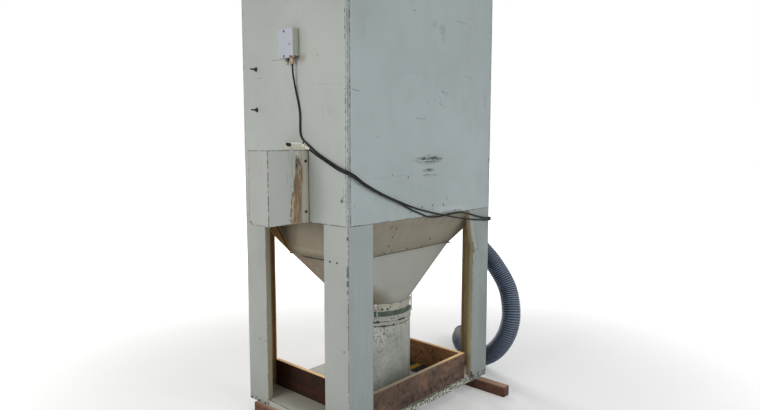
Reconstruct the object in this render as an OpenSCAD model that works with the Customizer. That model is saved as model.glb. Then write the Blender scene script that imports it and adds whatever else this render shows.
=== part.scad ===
// Sheet-metal cyclone separator cabinet on four folded legs. A two-stage
// hopper narrows to a round outlet over a clamped dust drum, which stands
// between three boards on a folded base. The base lies on two timbers.
// Millimetres, +Z up, z = 0 on the ground, origin at the centre of the
// footprint. The wide wall with the crossing leads faces -Y.

/* [Cabinet] */
// Width of the cabinet over its corner posts, along X
cabinet_w = 1200; // [900:10:1600]
// Depth of the cabinet over its corner posts, along Y
cabinet_d = 800; // [640:10:1000]
// Height of the walls above the hopper's top edge
wall_h = 1400; // [900:10:1800]
// Thickness of wall, roof and hopper sheet
sheet_t = 2; // [1.5:0.5:3]
// Width of corner post that shows beside each wall sheet
corner_show = 12; // [6:1:25]
// Depth of the roof's turned-down edge
roof_lip = 40; // [20:5:80]

/* [Legs and base] */
// Clear height of the legs below the cabinet
leg_h = 1050; // [900:10:1300]
// Flange width of the folded corner posts
post_flange = 170; // [120:5:180]
// Sheet thickness of the corner posts
post_t = 3; // [2:0.5:4]
// Width of the posts' return lips
post_lip = 30; // [15:1:40]
// Height of the folded base frame
base_h = 35; // [25:1:60]
// Sheet thickness of the base frame
base_t = 3; // [2:0.5:4]
// Width of the base frame's two end plates
base_end_w = 190; // [172:1:200]
// Width of the base frame's front and rear rails
base_rail_w = 50; // [40:1:80]
// Thickness of the sheet under the drum
floor_t = 3; // [2:0.5:5]
// Gap between the drum and the rubber mat beside it
mat_gap = 30; // [15:1:60]
// Thickness of the rubber mat
mat_t = 4; // [2:0.5:8]

/* [Timber] */
// Height of the two ground timbers
bearer_h = 60; // [40:1:100]
// Width of the left ground timber
bearer_left_w = 76; // [60:1:100]
// Width of the right ground timber
bearer_right_w = 57; // [45:1:80]
// Length of the ground timbers
bearer_len = 960; // [800:10:1100]
// How far the right timber reaches out in front of the wide wall
bearer_reach = 200; // [100:5:300]
// How much further the left timber reaches forward than the right one
bearer_left_more = 25; // [0:1:60]
// How far the left timber stands out past the narrow wall
bearer_left_out = 20; // [0:1:40]
// Distance of the right timber's left edge from the right legs' outer face
bearer_right_in = 117; // [90:1:160]
// Height of the boards round the drum
board_h = 152; // [100:1:200]
// Thickness of the boards
board_t = 24; // [18:1:32]
// How far the left board stands out over the base's left plate
board_left_out = 33; // [0:1:60]
// Gap between the right board and the base's right plate
board_right_in = 21; // [0:1:60]
// Distance of the front board from the base's front edge
board_inset = 12; // [8:1:20]

/* [Hopper] */
// Height of the sloped upper stage
hopper_upper_h = 215; // [150:5:260]
// Height of the square-to-round lower stage
hopper_lower_h = 279; // [220:1:320]
// Depth of the hopper at the seam between its stages, along Y
seam_d = 434; // [425:1:500]
// Gap between the hopper's end plates and the posts' lips
post_gap = 2; // [1:0.5:6]
// How far the sloped plates stand past the end plates at the seam
plate_flange = 14; // [8:1:30]
// Gap between the sloped plates' widest points and the posts
wing_gap = 62; // [30:1:100]
// Width of the seam flange outside the hopper
seam_flange = 12; // [8:1:20]
// Thickness of the seam flange
seam_flange_t = 6; // [4:1:8]

/* [Outlet and drum] */
// Outer radius of the outlet collar
outlet_r = 210; // [190:1:212]
// Height of the outlet collar
collar_h = 46; // [30:1:60]
// Height of the dark rubber sleeve under the collar
sleeve_h = 23; // [15:1:40]
// Thickness of the rubber sleeve
sleeve_t = 5; // [3:1:8]
// Outer radius of the drum
drum_r = 214; // [212:1:220]
// Sheet thickness of the drum, its lid and the clamp band
drum_t = 2; // [1.5:0.5:3]
// Height of the clamp band round the lid
lid_h = 33; // [20:1:45]
// Radius of the rolled bead below the lid
bead_r = 8; // [4:1:10]

/* [Fittings] */
// Length of the side box, out from the narrow wall
side_box_l = 243; // [150:1:300]
// Width of the side box, along Y
side_box_w = 150; // [100:1:200]
// Height of the side box
side_box_h = 351; // [250:1:450]
// Distance of the side box from the narrow wall's front corner
side_box_y = 270; // [185:1:320]
// Height of the switch box above the hopper's top edge
switch_up = 795; // [600:5:1000]
// Height of the switch box itself
switch_h = 140; // [100:1:180]
// Width of the switch box, along Y
switch_w = 110; // [80:1:140]
// Depth of the switch box's base
switch_base_d = 26; // [18:1:40]
// Depth of the switch box's lid
switch_lid_d = 14; // [8:1:24]
// Height of the inlet's centre above the hopper's top edge
inlet_up = 206; // [120:2:400]
// Distance of the inlet's centre from the wide wall
inlet_side = 250; // [230:5:400]
// Outer radius of the inlet spigot
inlet_r = 57; // [50:1:70]
// Outer diameter of the two leads
lead_d = 9; // [6:0.5:9]

/* [Hidden] */

// Levels
base_z = bearer_h;
base_top = base_z + base_h;
wall_z = base_z + leg_h;
top_z = wall_z + wall_h;
seam_z = wall_z - hopper_upper_h;
throat_top = seam_z - seam_flange_t;
collar_top = throat_top - hopper_lower_h;
collar_z = collar_top - collar_h;
lid_top = collar_z - sleeve_h;
lid_z = lid_top - lid_h;
floor_top = base_top + floor_t;

// Half sizes about the cabinet's centre
half_w = cabinet_w / 2;
half_d = cabinet_d / 2;
base_half_w = half_w - post_t;
base_half_d = half_d - post_t;
hopper_half_w = half_w - post_flange - post_gap;
seam_half_d = seam_d / 2;
collar_t = 3;
seat = 0.3;
sleeve_r = outlet_r - collar_t - seat;
sleeve_grip = 15;
lid_hole_r = sleeve_r - sleeve_t - 3;
band_in = drum_r + 0.5;
lid_r = band_in + drum_t;
bead_z = lid_z - 2 * bead_r;

// Side fittings
side_box_front = -half_d + side_box_y;
side_box_out = -half_w - sheet_t - side_box_l;
cleat_l = 170;
cleat_h = 37;
cleat_t = 3;
cleat_d = 20;
switch_y = -70;
switch_z = wall_z + switch_up;
switch_out = switch_base_d + switch_lid_d;
gland_x = -half_w - sheet_t - switch_out / 2;
gland_y = switch_y + 25;
gland_drop = 29;
gland_dome_r = 9.5;
spare_y = switch_y + 64;
spare_drop = 29;
spare_dome_r = 7.5;
sleeve_lead_r = 6;
sleeve_x = -half_w - sheet_t - 10;
sleeve_high = [24, 32];
sleeve_low = [-17, 4];
sleeve_from = [sleeve_x, side_box_front + sleeve_high[0], wall_z + side_box_h + sleeve_high[1]];
sleeve_to = [sleeve_x, side_box_front + sleeve_low[0], wall_z + side_box_h + sleeve_low[1]];
inlet_y = -half_d + inlet_side;
inlet_z = wall_z + inlet_up;
elbow_r = 114;
elbow_stub = 50;
elbow_tail = 50;
inlet_t = 1.5;
inlet_x = half_w + sheet_t + elbow_stub + elbow_r;
elbow_end = inlet_z - elbow_r - elbow_tail;
cuff_t = 6;
cuff_h = 50;
cuff_lap = 20;
hose_r = 60;
hose_t = 4;
end_cuff_h = 40;
floor_gland_x = 545;
floor_gland_h = 25;

// The leads' and the hose's routes, about the cabinet's centre
upper_route = [
    [-622, -45, 1876], [-621, -45, 1840], [-616, -47, 1800], [-610, -54, 1745], [-608, -68, 1690],
    [-608, -78, 1640], [-608, -82, 1536], [-608, -100, 1511], [-608, -140, 1486], [-608, -193, 1453],
    [-609, -277, 1414], [-615, -352, 1384], [-612, -393, 1370], [-600, -411, 1362], [-572, -415, 1348],
    [-510, -409, 1313], [-420, -407, 1270], [-333, -407, 1234], [-240, -407, 1201], [-150, -407, 1170],
    [-60, -409, 1145], [40, -414, 1121], [125, -418, 1103], [220, -414, 1084], [320, -409, 1066],
    [430, -408, 1050], [530, -411, 1039], [575, -417, 1036], [600, -412, 1035], [612, -398, 1034],
    [615, -365, 1033], [601, -240, 1032], [578, -207, 1034], [556, -194, 1045], [546, -190, 1064],
    [545, -190, 1085]];
lower_route = [
    [-612, -147, 1465], [-610, -200, 1438], [-610, -277, 1403], [-615, -352, 1373], [-612, -393, 1359],
    [-600, -411, 1351], [-572, -417, 1336], [-511, -416, 1301], [-401, -416, 1252], [-283, -416, 1208],
    [-220, -414, 1183], [-150, -408, 1154], [-81, -407, 1130], [-20, -407, 1109], [40, -407, 1100],
    [125, -407, 1100], [215, -407, 1105], [300, -407, 1103], [364, -408, 1091], [448, -409, 1070],
    [530, -412, 1052], [575, -417, 1047], [600, -412, 1046], [612, -398, 1045], [615, -365, 1044],
    [603, -210, 1044], [585, -165, 1044], [558, -147, 1052], [546, -145, 1068], [545, -145, 1085]];
hose_route = [
    [766, -150, 1122], [766, -153, 1080], [767, -189, 889], [778, -215, 836], [817, -303, 725],
    [825, -409, 571], [787, -463, 421], [774, -460, 337], [764, -435, 258], [761, -367, 160],
    [781, -264, 87], [817, -170, 60], [892, -64, 60], [980, 42, 60], [1060, 112, 60], [1130, 150, 60]];

// The footprint's centre, seen from the cabinet's centre
reach_left = side_box_out;
reach_right = inlet_x + inlet_r;
reach_front = -half_d - bearer_reach - bearer_left_more;
reach_back = half_d + 2 * sheet_t;
centre_x = (reach_left + reach_right) / 2;
centre_y = (reach_front + reach_back) / 2;

module place() {
    translate([-centre_x, -centre_y, 0]) children();
}

function cross3(a, b) = [a[1] * b[2] - a[2] * b[1], a[2] * b[0] - a[0] * b[2], a[0] * b[1] - a[1] * b[0]];
function unit(v) = v / norm(v);

// Direction of a route at its i-th point
function heading(route, i) = unit(
    route[min(i + 1, len(route) - 1)] - route[max(i - 1, 0)]);

// Sideways vector carried along the route, so the tube doesn't twist
function carry(route, i) = i == 0
    ? unit(cross3(heading(route, 0), [0.3, 1, 0]))
    : let (d = heading(route, i), v = carry(route, i - 1)) unit(v - (v * d) * d);

// Corners of one ring of a swept tube
function ring(route, i, r, sides) =
    let (d = heading(route, i), u = carry(route, i), w = cross3(d, u))
    [for (k = [0 : sides - 1]) route[i] + r * (cos(360 * k / sides) * u + sin(360 * k / sides) * w)];

// Solid round lead along a route
module swept_lead(route, r, sides) {
    n = len(route);
    points = [for (i = [0 : n - 1]) each ring(route, i, r, sides)];
    walls = [for (i = [0 : n - 2], k = [0 : sides - 1])
        let (a = i * sides + k, b = i * sides + (k + 1) % sides) [a, a + sides, b + sides, b]];
    first = [for (k = [0 : sides - 1]) k];
    last = [for (k = [sides - 1 : -1 : 0]) (n - 1) * sides + k];
    polyhedron(points, concat([first], walls, [last]), convexity = 6);
}

// Open hose along a route
module swept_hose(route, r, wall, sides) {
    n = len(route);
    inner = n * sides;
    points = [for (q = [r, r - wall], i = [0 : n - 1]) each ring(route, i, q, sides)];
    outside = [for (i = [0 : n - 2], k = [0 : sides - 1])
        let (a = i * sides + k, b = i * sides + (k + 1) % sides) [a, a + sides, b + sides, b]];
    inside = [for (i = [0 : n - 2], k = [0 : sides - 1])
        let (a = inner + i * sides + k, b = inner + i * sides + (k + 1) % sides)
        [a, b, b + sides, a + sides]];
    mouth = [for (k = [0 : sides - 1]) [k, (k + 1) % sides, inner + (k + 1) % sides, inner + k]];
    tail = [for (k = [0 : sides - 1])
        let (a = (n - 1) * sides + k, b = (n - 1) * sides + (k + 1) % sides) [b, a, inner + a, inner + b]];
    polyhedron(points, concat(outside, inside, mouth, tail), convexity = 6);
}

// Ring with a rectangular section
module hoop(r_out, r_in, h) {
    difference() {
        cylinder(r = r_out, h = h, $fn = 96);
        translate([0, 0, -1]) cylinder(r = r_in, h = h + 2, $fn = 96);
    }
}

// Flat rectangle with round corners
module round_rect(w, h, r) {
    translate([r, 0]) square([w - 2 * r, h]);
    translate([0, r]) square([w, h - 2 * r]);
    for (x = [r, w - r], y = [r, h - r]) translate([x, y]) circle(r = r, $fn = 32);
}

// Folded corner post with return lips; sx and sy pick the corner
module post(sx, sy) {
    f = post_flange;
    t = post_t;
    color("antiquewhite")
    place() translate([sx * half_w, sy * half_d, base_z])
        mirror([sx > 0 ? 1 : 0, 0, 0]) mirror([0, sy > 0 ? 1 : 0, 0])
        linear_extrude(leg_h + wall_h)
        polygon([[0, 0], [f, 0], [f, post_lip], [f - t, post_lip], [f - t, t], [t, t],
            [t, f - t], [post_lip, f - t], [post_lip, f], [0, f]]);
}

// Wall sheet across the wide side; s is -1 for the front and 1 for the back
module wide_wall(s) {
    color("ivory")
    place() translate([-half_w + corner_show, s > 0 ? half_d : -half_d - sheet_t, wall_z])
        cube([cabinet_w - 2 * corner_show, sheet_t, wall_h]);
}

module left_wall() {
    color("ivory")
    place() translate([-half_w - sheet_t, -half_d + corner_show, wall_z])
        cube([sheet_t, cabinet_d - 2 * corner_show, wall_h]);
}

module right_wall() {
    color("ivory")
    place() difference() {
        translate([half_w, -half_d + corner_show, wall_z])
            cube([sheet_t, cabinet_d - 2 * corner_show, wall_h]);
        translate([half_w - 1, inlet_y, inlet_z]) rotate([0, 90, 0])
            cylinder(r = inlet_r - inlet_t, h = sheet_t + 2, $fn = 96);
    }
}

// Roof tray, its edge turned down outside the walls
module roof() {
    w = cabinet_w + 4 * sheet_t;
    d = cabinet_d + 4 * sheet_t;
    color("ivory")
    place() difference() {
        translate([-w / 2, -d / 2, top_z - roof_lip]) cube([w, d, roof_lip + sheet_t]);
        translate([-w / 2 + sheet_t, -d / 2 + sheet_t, top_z - roof_lip - 1])
            cube([w - 2 * sheet_t, d - 2 * sheet_t, roof_lip + 1]);
    }
}

// Closing plates beside the hopper, notched round the posts' lips
module cabinet_floor() {
    notch = 1;
    color("ivory")
    place() for (s = [-1, 1]) mirror([s > 0 ? 1 : 0, 0, 0]) difference() {
        translate([-base_half_w, -base_half_d, wall_z])
            cube([base_half_w - hopper_half_w, 2 * base_half_d, base_t]);
        for (e = [-1, 1]) mirror([0, e > 0 ? 1 : 0, 0]) {
            translate([-half_w + post_flange - post_t - notch, -half_d, wall_z - 1])
                cube([post_t + 2 * notch + post_gap, post_lip + notch, base_t + 2]);
            translate([-half_w, -half_d + post_flange - post_t - notch, wall_z - 1])
                cube([post_lip + notch, post_t + 2 * notch, base_t + 2]);
        }
    }
}

// Channel with its open side down, from one corner, w along X and d along Y
module channel(w, d) {
    difference() {
        cube([w, d, base_h]);
        translate([base_t, base_t, -1]) cube([w - 2 * base_t, d - 2 * base_t, base_h - base_t + 1]);
    }
}

// End plates of the base, notched round the posts' lips
module base_end_plate(s) {
    notch = 1;
    color("whitesmoke")
    place() mirror([s > 0 ? 1 : 0, 0, 0]) difference() {
        translate([-base_half_w, -base_half_d, base_z]) channel(base_end_w, 2 * base_half_d);
        for (e = [-1, 1]) mirror([0, e > 0 ? 1 : 0, 0]) {
            translate([-half_w + post_flange - post_t - notch, -half_d, base_z - 1])
                cube([post_t + 2 * notch, post_lip + notch, base_h + 2]);
            translate([-half_w, -half_d + post_flange - post_t - notch, base_z - 1])
                cube([post_lip + notch, post_t + 2 * notch, base_h + 2]);
        }
    }
}

// Front and rear rails between the end plates
module base_rails() {
    len_x = 2 * (base_half_w - base_end_w);
    color("whitesmoke")
    place() for (s = [-1, 1]) mirror([0, s > 0 ? 1 : 0, 0])
        translate([-len_x / 2, -base_half_d, base_z]) channel(len_x, base_rail_w);
}

// Where the three boards stand on the base, open at the rear
board_gap = 1;
board_left_x = -base_half_w + base_end_w - board_left_out;
board_right_x = base_half_w - base_end_w - board_right_in;
board_y = base_half_d - board_inset;
board_end = half_d - post_lip - board_gap;

// Painted sheet inside the boards, out to the rear edge
module drum_floor() {
    front_y = -board_y + board_t + board_gap;
    left_x = board_left_x + board_t + board_gap;
    right_x = board_right_x - board_t - board_gap;
    color("whitesmoke")
    place() translate([left_x, front_y, base_top])
        cube([right_x - left_x, base_half_d - front_y, floor_t]);
}

// Rubber strip between the drum and the right board
module floor_mat() {
    front_y = -board_y + board_t + 2 * board_gap;
    left_x = drum_r + mat_gap;
    right_x = board_right_x - board_t - 2 * board_gap;
    color("dimgray")
    place() translate([left_x, front_y, floor_top])
        cube([right_x - left_x, board_end - front_y, mat_t]);
}

// Long board, its left end beside the post's lip
module board_front() {
    left_x = -half_w + post_flange + board_gap;
    color("peru")
    place() translate([left_x, -board_y, base_top])
        cube([board_right_x - left_x, board_t, board_h]);
}

// Short board behind the long one; s is -1 for the left and 1 for the right
module short_board(s) {
    color("peru")
    place() translate([s < 0 ? board_left_x : board_right_x - board_t, -board_y + board_t, base_top])
        cube([board_t, board_end + board_y - board_t, board_h]);
}

module bearer_left() {
    color("saddlebrown")
    place() translate([-half_w - bearer_left_out, reach_front, 0])
        cube([bearer_left_w, bearer_len, bearer_h]);
}

module bearer_right() {
    color("saddlebrown")
    place() translate([half_w - bearer_right_in, -half_d - bearer_reach, 0])
        cube([bearer_right_w, bearer_len, bearer_h]);
}

// Slope of the hopper's sloped plates, and their thickness measured along Y
slope_run = half_d - seam_half_d;
sheet_along_y = sheet_t * norm([slope_run, hopper_upper_h]) / hopper_upper_h;

// Sloped plate with an upstand behind the wall, mirrored for the rear. Its
// wings widen up to the posts' lips, where they are notched.
module sloped_plate(s) {
    upstand = 30;
    lip_gap = 8;
    wing_top = wall_z - (post_lip + lip_gap) * hopper_upper_h / slope_run;
    wing_tip = half_w - post_t - wing_gap;
    wing_low = hopper_half_w + plate_flange;
    top = wall_z + upstand;
    inner_y = -half_d + sheet_t;
    profile = [[-half_d, top], [-half_d, wall_z], [-seam_half_d, seam_z],
        [-seam_half_d + sheet_along_y, seam_z], [inner_y, wall_z - 1], [inner_y, top]];
    outline = [[-wing_low, seam_z], [wing_low, seam_z], [wing_tip, wing_top], [hopper_half_w, wing_top],
        [hopper_half_w, top], [-hopper_half_w, top], [-hopper_half_w, wing_top], [-wing_tip, wing_top]];
    color("wheat")
    place() mirror([0, s > 0 ? 1 : 0, 0]) intersection() {
        translate([-half_w, 0, 0]) rotate([90, 0, 90]) linear_extrude(cabinet_w) polygon(profile);
        rotate([90, 0, 0]) linear_extrude(half_d) polygon(outline);
    }
}

// Upright end plate of the upper stage, mirrored for the right
module hopper_end_plate(s) {
    shoulder = 3;
    top = wall_z + base_t;
    top_y = half_d - sheet_along_y - seat - sheet_t;
    low_y = seam_half_d - sheet_along_y - seat;
    color("tan")
    place() mirror([s > 0 ? 1 : 0, 0, 0])
        translate([-hopper_half_w, 0, 0]) rotate([90, 0, 90]) linear_extrude(sheet_t)
        polygon([[-top_y, top], [-top_y, wall_z - shoulder], [-low_y, seam_z], [low_y, seam_z],
            [top_y, wall_z - shoulder], [top_y, top]]);
}

module hopper_seam_flange() {
    color("tan")
    place() translate([0, 0, throat_top]) difference() {
        translate([-hopper_half_w - seam_flange, -seam_half_d - seam_flange, 0])
            cube([2 * (hopper_half_w + seam_flange), seam_d + 2 * seam_flange, seam_flange_t]);
        translate([-hopper_half_w + sheet_t, -seam_half_d + sheet_t, -1])
            cube([2 * (hopper_half_w - sheet_t), seam_d - 2 * sheet_t, seam_flange_t + 2]);
    }
}

// Square-to-round form between the seam and the outlet collar
module transition_form(inset, extra) {
    slab = 0.5;
    hull() {
        translate([-hopper_half_w + inset, -seam_half_d + inset, throat_top - slab + extra])
            cube([2 * (hopper_half_w - inset), seam_d - 2 * inset, slab]);
        translate([0, 0, collar_top - extra]) cylinder(r = outlet_r - inset, h = slab, $fn = 64);
    }
}

module hopper_transition() {
    color("gainsboro")
    place() difference() {
        transition_form(0, 0);
        transition_form(sheet_t, 0.3);
    }
}

// Outlet collar with two swaged beads
module outlet_collar() {
    bead = 1.6;
    bead_in = 8;
    color("gainsboro")
    place() translate([0, 0, collar_z]) rotate_extrude($fn = 96)
        union() {
            translate([outlet_r - collar_t, 0]) square([collar_t, collar_h]);
            for (z = [bead_in, collar_h - bead_in]) translate([outlet_r, z]) circle(r = bead, $fn = 24);
        }
}

// Rubber sleeve, held in the collar's foot and standing on the lid
module outlet_sleeve() {
    color("darkslategray")
    place() translate([0, 0, lid_top]) hoop(sleeve_r, sleeve_r - sleeve_t, sleeve_h + sleeve_grip);
}

// Flat lid on the drum's rim, with a hole for the dust
module drum_lid() {
    color("lightgray")
    place() translate([0, 0, lid_top - drum_t]) hoop(band_in - seat, lid_hole_r, drum_t);
}

// Clamp band round the lid and the drum's mouth
module clamp_band() {
    color("lightgray")
    place() translate([0, 0, lid_z]) hoop(lid_r, band_in, lid_h);
}

// Round bead on the drum's wall, nothing of it inside; its centre is r out and z up
module wall_bead(r, z, size) {
    intersection() {
        translate([r, z]) circle(r = size, $fn = 32);
        translate([drum_r - drum_t, z - size]) square([size + drum_t, 2 * size]);
    }
}

// Drum: bottom, wall, rolled bead under the lid and a foot bead
module drum() {
    wall_top = lid_top - drum_t - floor_top;
    bead_in = 4;
    foot_r = 3;
    color("silver")
    place() translate([0, 0, floor_top]) rotate_extrude($fn = 96)
        union() {
            translate([drum_r - drum_t, 0]) square([drum_t, wall_top]);
            square([drum_r, drum_t]);
            wall_bead(drum_r - bead_in, bead_z + bead_r - floor_top, bead_r);
            wall_bead(drum_r - 1, foot_r, foot_r);
        }
}

// Over-centre latch between the collar and the clamp band, drawn on the +X side
module toggle_latch() {
    plate_w = 26;
    plate_h = 22;
    plate_t = 3;
    pivot_z = collar_z + collar_h / 2;
    pin_r = 3;
    pin_x = outlet_r + 9;
    ear_d = 12;
    ear_h = 14;
    ear_y = 9;
    lever_w = 16;
    lever_t = 4;
    lever_l = 32;
    lever_x = outlet_r + 11;
    lever_below = 6;
    wire_r = 2.5;
    wire_y = 10.5;
    wire_x = outlet_r + 11;
    hook_w = 12;
    hook_h = 10;
    hook_x = outlet_r + 12;
    hook_z = lid_z + 14;
    hook_low = hook_z - wire_r - plate_t;
    keeper_below = 9;
    // Base plate on the collar with two ears, and the lever's pin through them
    translate([outlet_r + seat, -plate_w / 2, pivot_z - plate_h / 2]) cube([plate_t, plate_w, plate_h]);
    for (e = [-1, 1]) translate([outlet_r + 2, e * ear_y - plate_t / 2, pivot_z - ear_h / 2])
        cube([ear_d, plate_t, ear_h]);
    translate([pin_x, -plate_w / 2, pivot_z]) rotate([-90, 0, 0])
        cylinder(r = pin_r, h = plate_w, $fn = 32);
    translate([lever_x, -lever_w / 2, pivot_z - lever_below]) cube([lever_t, lever_w, lever_l]);
    // Wire loop, from the pin down round the hook
    for (e = [-1, 1]) translate([wire_x, e * wire_y, hook_z])
        cylinder(r = wire_r, h = pivot_z - hook_z, $fn = 24);
    translate([wire_x, -wire_y - wire_r, hook_z]) rotate([-90, 0, 0])
        cylinder(r = wire_r, h = 2 * (wire_y + wire_r), $fn = 24);
    // Keeper plate with its hook on the clamp band
    translate([lid_r + seat, -lever_w / 2, hook_z - keeper_below]) cube([plate_t, lever_w, plate_h]);
    translate([lid_r + 1, -hook_w / 2, hook_low]) cube([hook_x + 1 - lid_r, hook_w, plate_t]);
    translate([hook_x, -hook_w / 2, hook_low]) cube([plate_t, hook_w, hook_h]);
}

module toggle_latches() {
    color("lightsteelblue")
    place() for (a = [45 : 90 : 315]) rotate([0, 0, a]) toggle_latch();
}

// Sheet box on the narrow wall, open only towards the wall
module side_box() {
    color("ivory")
    place() translate([side_box_out, side_box_front, wall_z]) difference() {
        cube([side_box_l, side_box_w, side_box_h]);
        translate([sheet_t, sheet_t, sheet_t])
            cube([side_box_l, side_box_w - 2 * sheet_t, side_box_h - 2 * sheet_t]);
    }
}

// Angle above the side box: one leg on the box, one on the wall
module side_box_cleat() {
    inset = 6;
    color("beige")
    place() translate([-half_w - sheet_t, side_box_front + inset, wall_z + side_box_h]) {
        translate([-cleat_d, 0, 0]) cube([cleat_d, cleat_l, cleat_t]);
        translate([-cleat_t, 0, 0]) cube([cleat_t, cleat_l, cleat_h]);
    }
}

// Black plug on the cleat's upright leg
module cleat_plug() {
    plug_r = 9;
    plug_h = 14;
    plug_back = 136;
    plug_up = 27;
    nose_r = 6;
    nose_tilt = 25;
    nose_sunk = 4;
    color("black")
    place()
        translate([-half_w - sheet_t - cleat_t, side_box_front + plug_back, wall_z + side_box_h + plug_up])
        rotate([0, -90, 0]) union() {
            cylinder(r = plug_r, h = plug_h, $fn = 48);
            translate([0, 0, plug_h - nose_sunk]) rotate([0, nose_tilt, 0])
                cylinder(r = nose_r, h = plug_h, $fn = 32);
        }
}

// Pale sleeve by the cleat's end that the lower lead comes out of
module lead_sleeve() {
    run = sleeve_to - sleeve_from;
    color("beige")
    place() translate(sleeve_from) rotate([0, acos(run[2] / norm(run)), atan2(run[1], run[0])])
        cylinder(r = sleeve_lead_r, h = norm(run), $fn = 32);
}

module switch_box() {
    color("whitesmoke")
    place() translate([-half_w - sheet_t, switch_y, switch_z]) rotate([90, 0, -90])
        mirror([1, 0, 0]) linear_extrude(switch_base_d) round_rect(switch_w, switch_h, 5);
}

module switch_box_lid() {
    color("white")
    place() translate([-half_w - sheet_t - switch_base_d, switch_y, switch_z]) rotate([90, 0, -90])
        mirror([1, 0, 0]) linear_extrude(switch_lid_d) round_rect(switch_w, switch_h, 5);
}

// Cable gland: hexagon against the box, then the dome nut
module gland(x, y, top, drop, dome_r) {
    hex_h = 9;
    hex_r = dome_r + 2.5;
    translate([x, y, top - hex_h]) cylinder(r = hex_r, h = hex_h, $fn = 6);
    translate([x, y, top - drop]) cylinder(r = dome_r, h = drop - hex_h, $fn = 48);
}

module brass_gland() {
    color("goldenrod")
    place() gland(gland_x, gland_y, switch_z, gland_drop, gland_dome_r);
}

// Spare gland under the switch box, and the glands in the cabinet's floor
// where both leads go in
module plastic_glands() {
    color("gray")
    place() {
        gland(gland_x, spare_y, switch_z, spare_drop, spare_dome_r);
        for (route = [upper_route, lower_route])
            gland(floor_gland_x, route[len(route) - 1][1], wall_z, floor_gland_h, gland_dome_r);
    }
}

module lead_upper() {
    color("black") place() swept_lead(upper_route, lead_d / 2, 8);
}

module lead_lower() {
    color("black") place() swept_lead(lower_route, lead_d / 2, 8);
}

// Inlet spigot: wall flange, stub, quarter bend and tail
module inlet_elbow() {
    r_in = inlet_r - inlet_t;
    collar_w = 28;
    color("silver")
    place() {
        translate([half_w + sheet_t, inlet_y, inlet_z]) rotate([0, 90, 0]) {
            hoop(inlet_r + collar_w, r_in, 2 * inlet_t);
            hoop(inlet_r, r_in, elbow_stub);
        }
        translate([half_w + sheet_t + elbow_stub, inlet_y, inlet_z - elbow_r]) rotate([90, 0, 0])
            rotate_extrude(angle = 90, $fn = 96) translate([elbow_r, 0]) difference() {
                circle(r = inlet_r, $fn = 64);
                circle(r = r_in, $fn = 64);
            }
        translate([inlet_x, inlet_y, elbow_end]) hoop(inlet_r, r_in, elbow_tail);
    }
}

module inlet_hose() {
    color("slategray") place() swept_hose(hose_route, hose_r, hose_t, 12);
}

// Rubber cuffs: one joins hose and spigot, one ends the hose
module hose_cuffs() {
    last = hose_route[len(hose_route) - 1];
    run = last - hose_route[len(hose_route) - 2];
    color("black")
    place() {
        translate([inlet_x, inlet_y, elbow_end + cuff_lap - cuff_h])
            hoop(inlet_r + seat + cuff_t, inlet_r + seat, cuff_h);
        translate(last) rotate([0, 0, atan2(run[1], run[0])]) rotate([0, 90, 0])
            hoop(hose_r, hose_r - hose_t, end_cuff_h);
    }
}

post(-1, -1);  // post_front_left
post(1, -1);  // post_front_right
post(-1, 1);  // post_back_left
post(1, 1);  // post_back_right
wide_wall(-1);  // front_wall
wide_wall(1);  // back_wall
left_wall();
right_wall();
roof();
cabinet_floor();
base_end_plate(-1);  // base_left_plate
base_end_plate(1);  // base_right_plate
base_rails();
drum_floor();
floor_mat();
board_front();
short_board(-1);  // board_left
short_board(1);  // board_right
bearer_left();
bearer_right();
sloped_plate(-1);  // hopper_front_plate
sloped_plate(1);  // hopper_back_plate
hopper_end_plate(-1);  // hopper_left_plate
hopper_end_plate(1);  // hopper_right_plate
hopper_seam_flange();
hopper_transition();
outlet_collar();
outlet_sleeve();
drum_lid();
clamp_band();
drum();
toggle_latches();
side_box();
side_box_cleat();
cleat_plug();
lead_sleeve();
switch_box();
switch_box_lid();
brass_gland();
plastic_glands();
lead_upper();
lead_lower();
inlet_elbow();
inlet_hose();
hose_cuffs();
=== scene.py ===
"""Cyclone separator cabinet: finishes, leads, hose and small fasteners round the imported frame."""
import math

import bmesh
import bpy
from mathutils import Matrix, Vector, noise


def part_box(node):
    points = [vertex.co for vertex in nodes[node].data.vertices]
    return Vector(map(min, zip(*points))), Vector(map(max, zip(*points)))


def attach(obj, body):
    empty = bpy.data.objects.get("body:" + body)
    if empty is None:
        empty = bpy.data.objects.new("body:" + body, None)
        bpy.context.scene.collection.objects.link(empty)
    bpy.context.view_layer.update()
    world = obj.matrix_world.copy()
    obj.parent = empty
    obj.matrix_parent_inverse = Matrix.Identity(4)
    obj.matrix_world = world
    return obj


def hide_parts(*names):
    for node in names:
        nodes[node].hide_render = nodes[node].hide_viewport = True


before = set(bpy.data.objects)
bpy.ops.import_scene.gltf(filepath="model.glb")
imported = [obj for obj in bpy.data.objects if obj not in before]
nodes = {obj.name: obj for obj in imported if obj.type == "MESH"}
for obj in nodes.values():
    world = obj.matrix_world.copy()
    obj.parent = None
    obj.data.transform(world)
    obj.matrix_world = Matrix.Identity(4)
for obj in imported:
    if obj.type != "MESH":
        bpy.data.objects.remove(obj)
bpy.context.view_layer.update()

# Places are given in millimetres from the cabinet's centre, as in the part's source
front_low, front_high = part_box("front_wall")
side_low, side_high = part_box("left_wall")
CENTRE = Vector(((front_low.x + front_high.x) / 2, (side_low.y + side_high.y) / 2, 0))
HALF_W, HALF_D = 600, 400
SHEET = 2
WALL_Z, TOP_Z = 1110, 2510
WALL_X, WALL_Y = -HALF_W - SHEET, -HALF_D - SHEET
SEAM_Z, SEAM_Y = 895, 217
BASE_X, BASE_Y, BASE_TOP = 597, 397, 95
LAP_X, LAP_Y = HALF_W - 12, HALF_D - 12
FLANGE, LIP, POST_T, POST_BEND = 170, 30, 3, 4.5
INNER_X, INNER_Y = HALF_W - FLANGE, HALF_D - FLANGE
BOX_X, BOX_Y, BOX_END, BOX_TOP = -845, -130, 20, 1461
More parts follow.
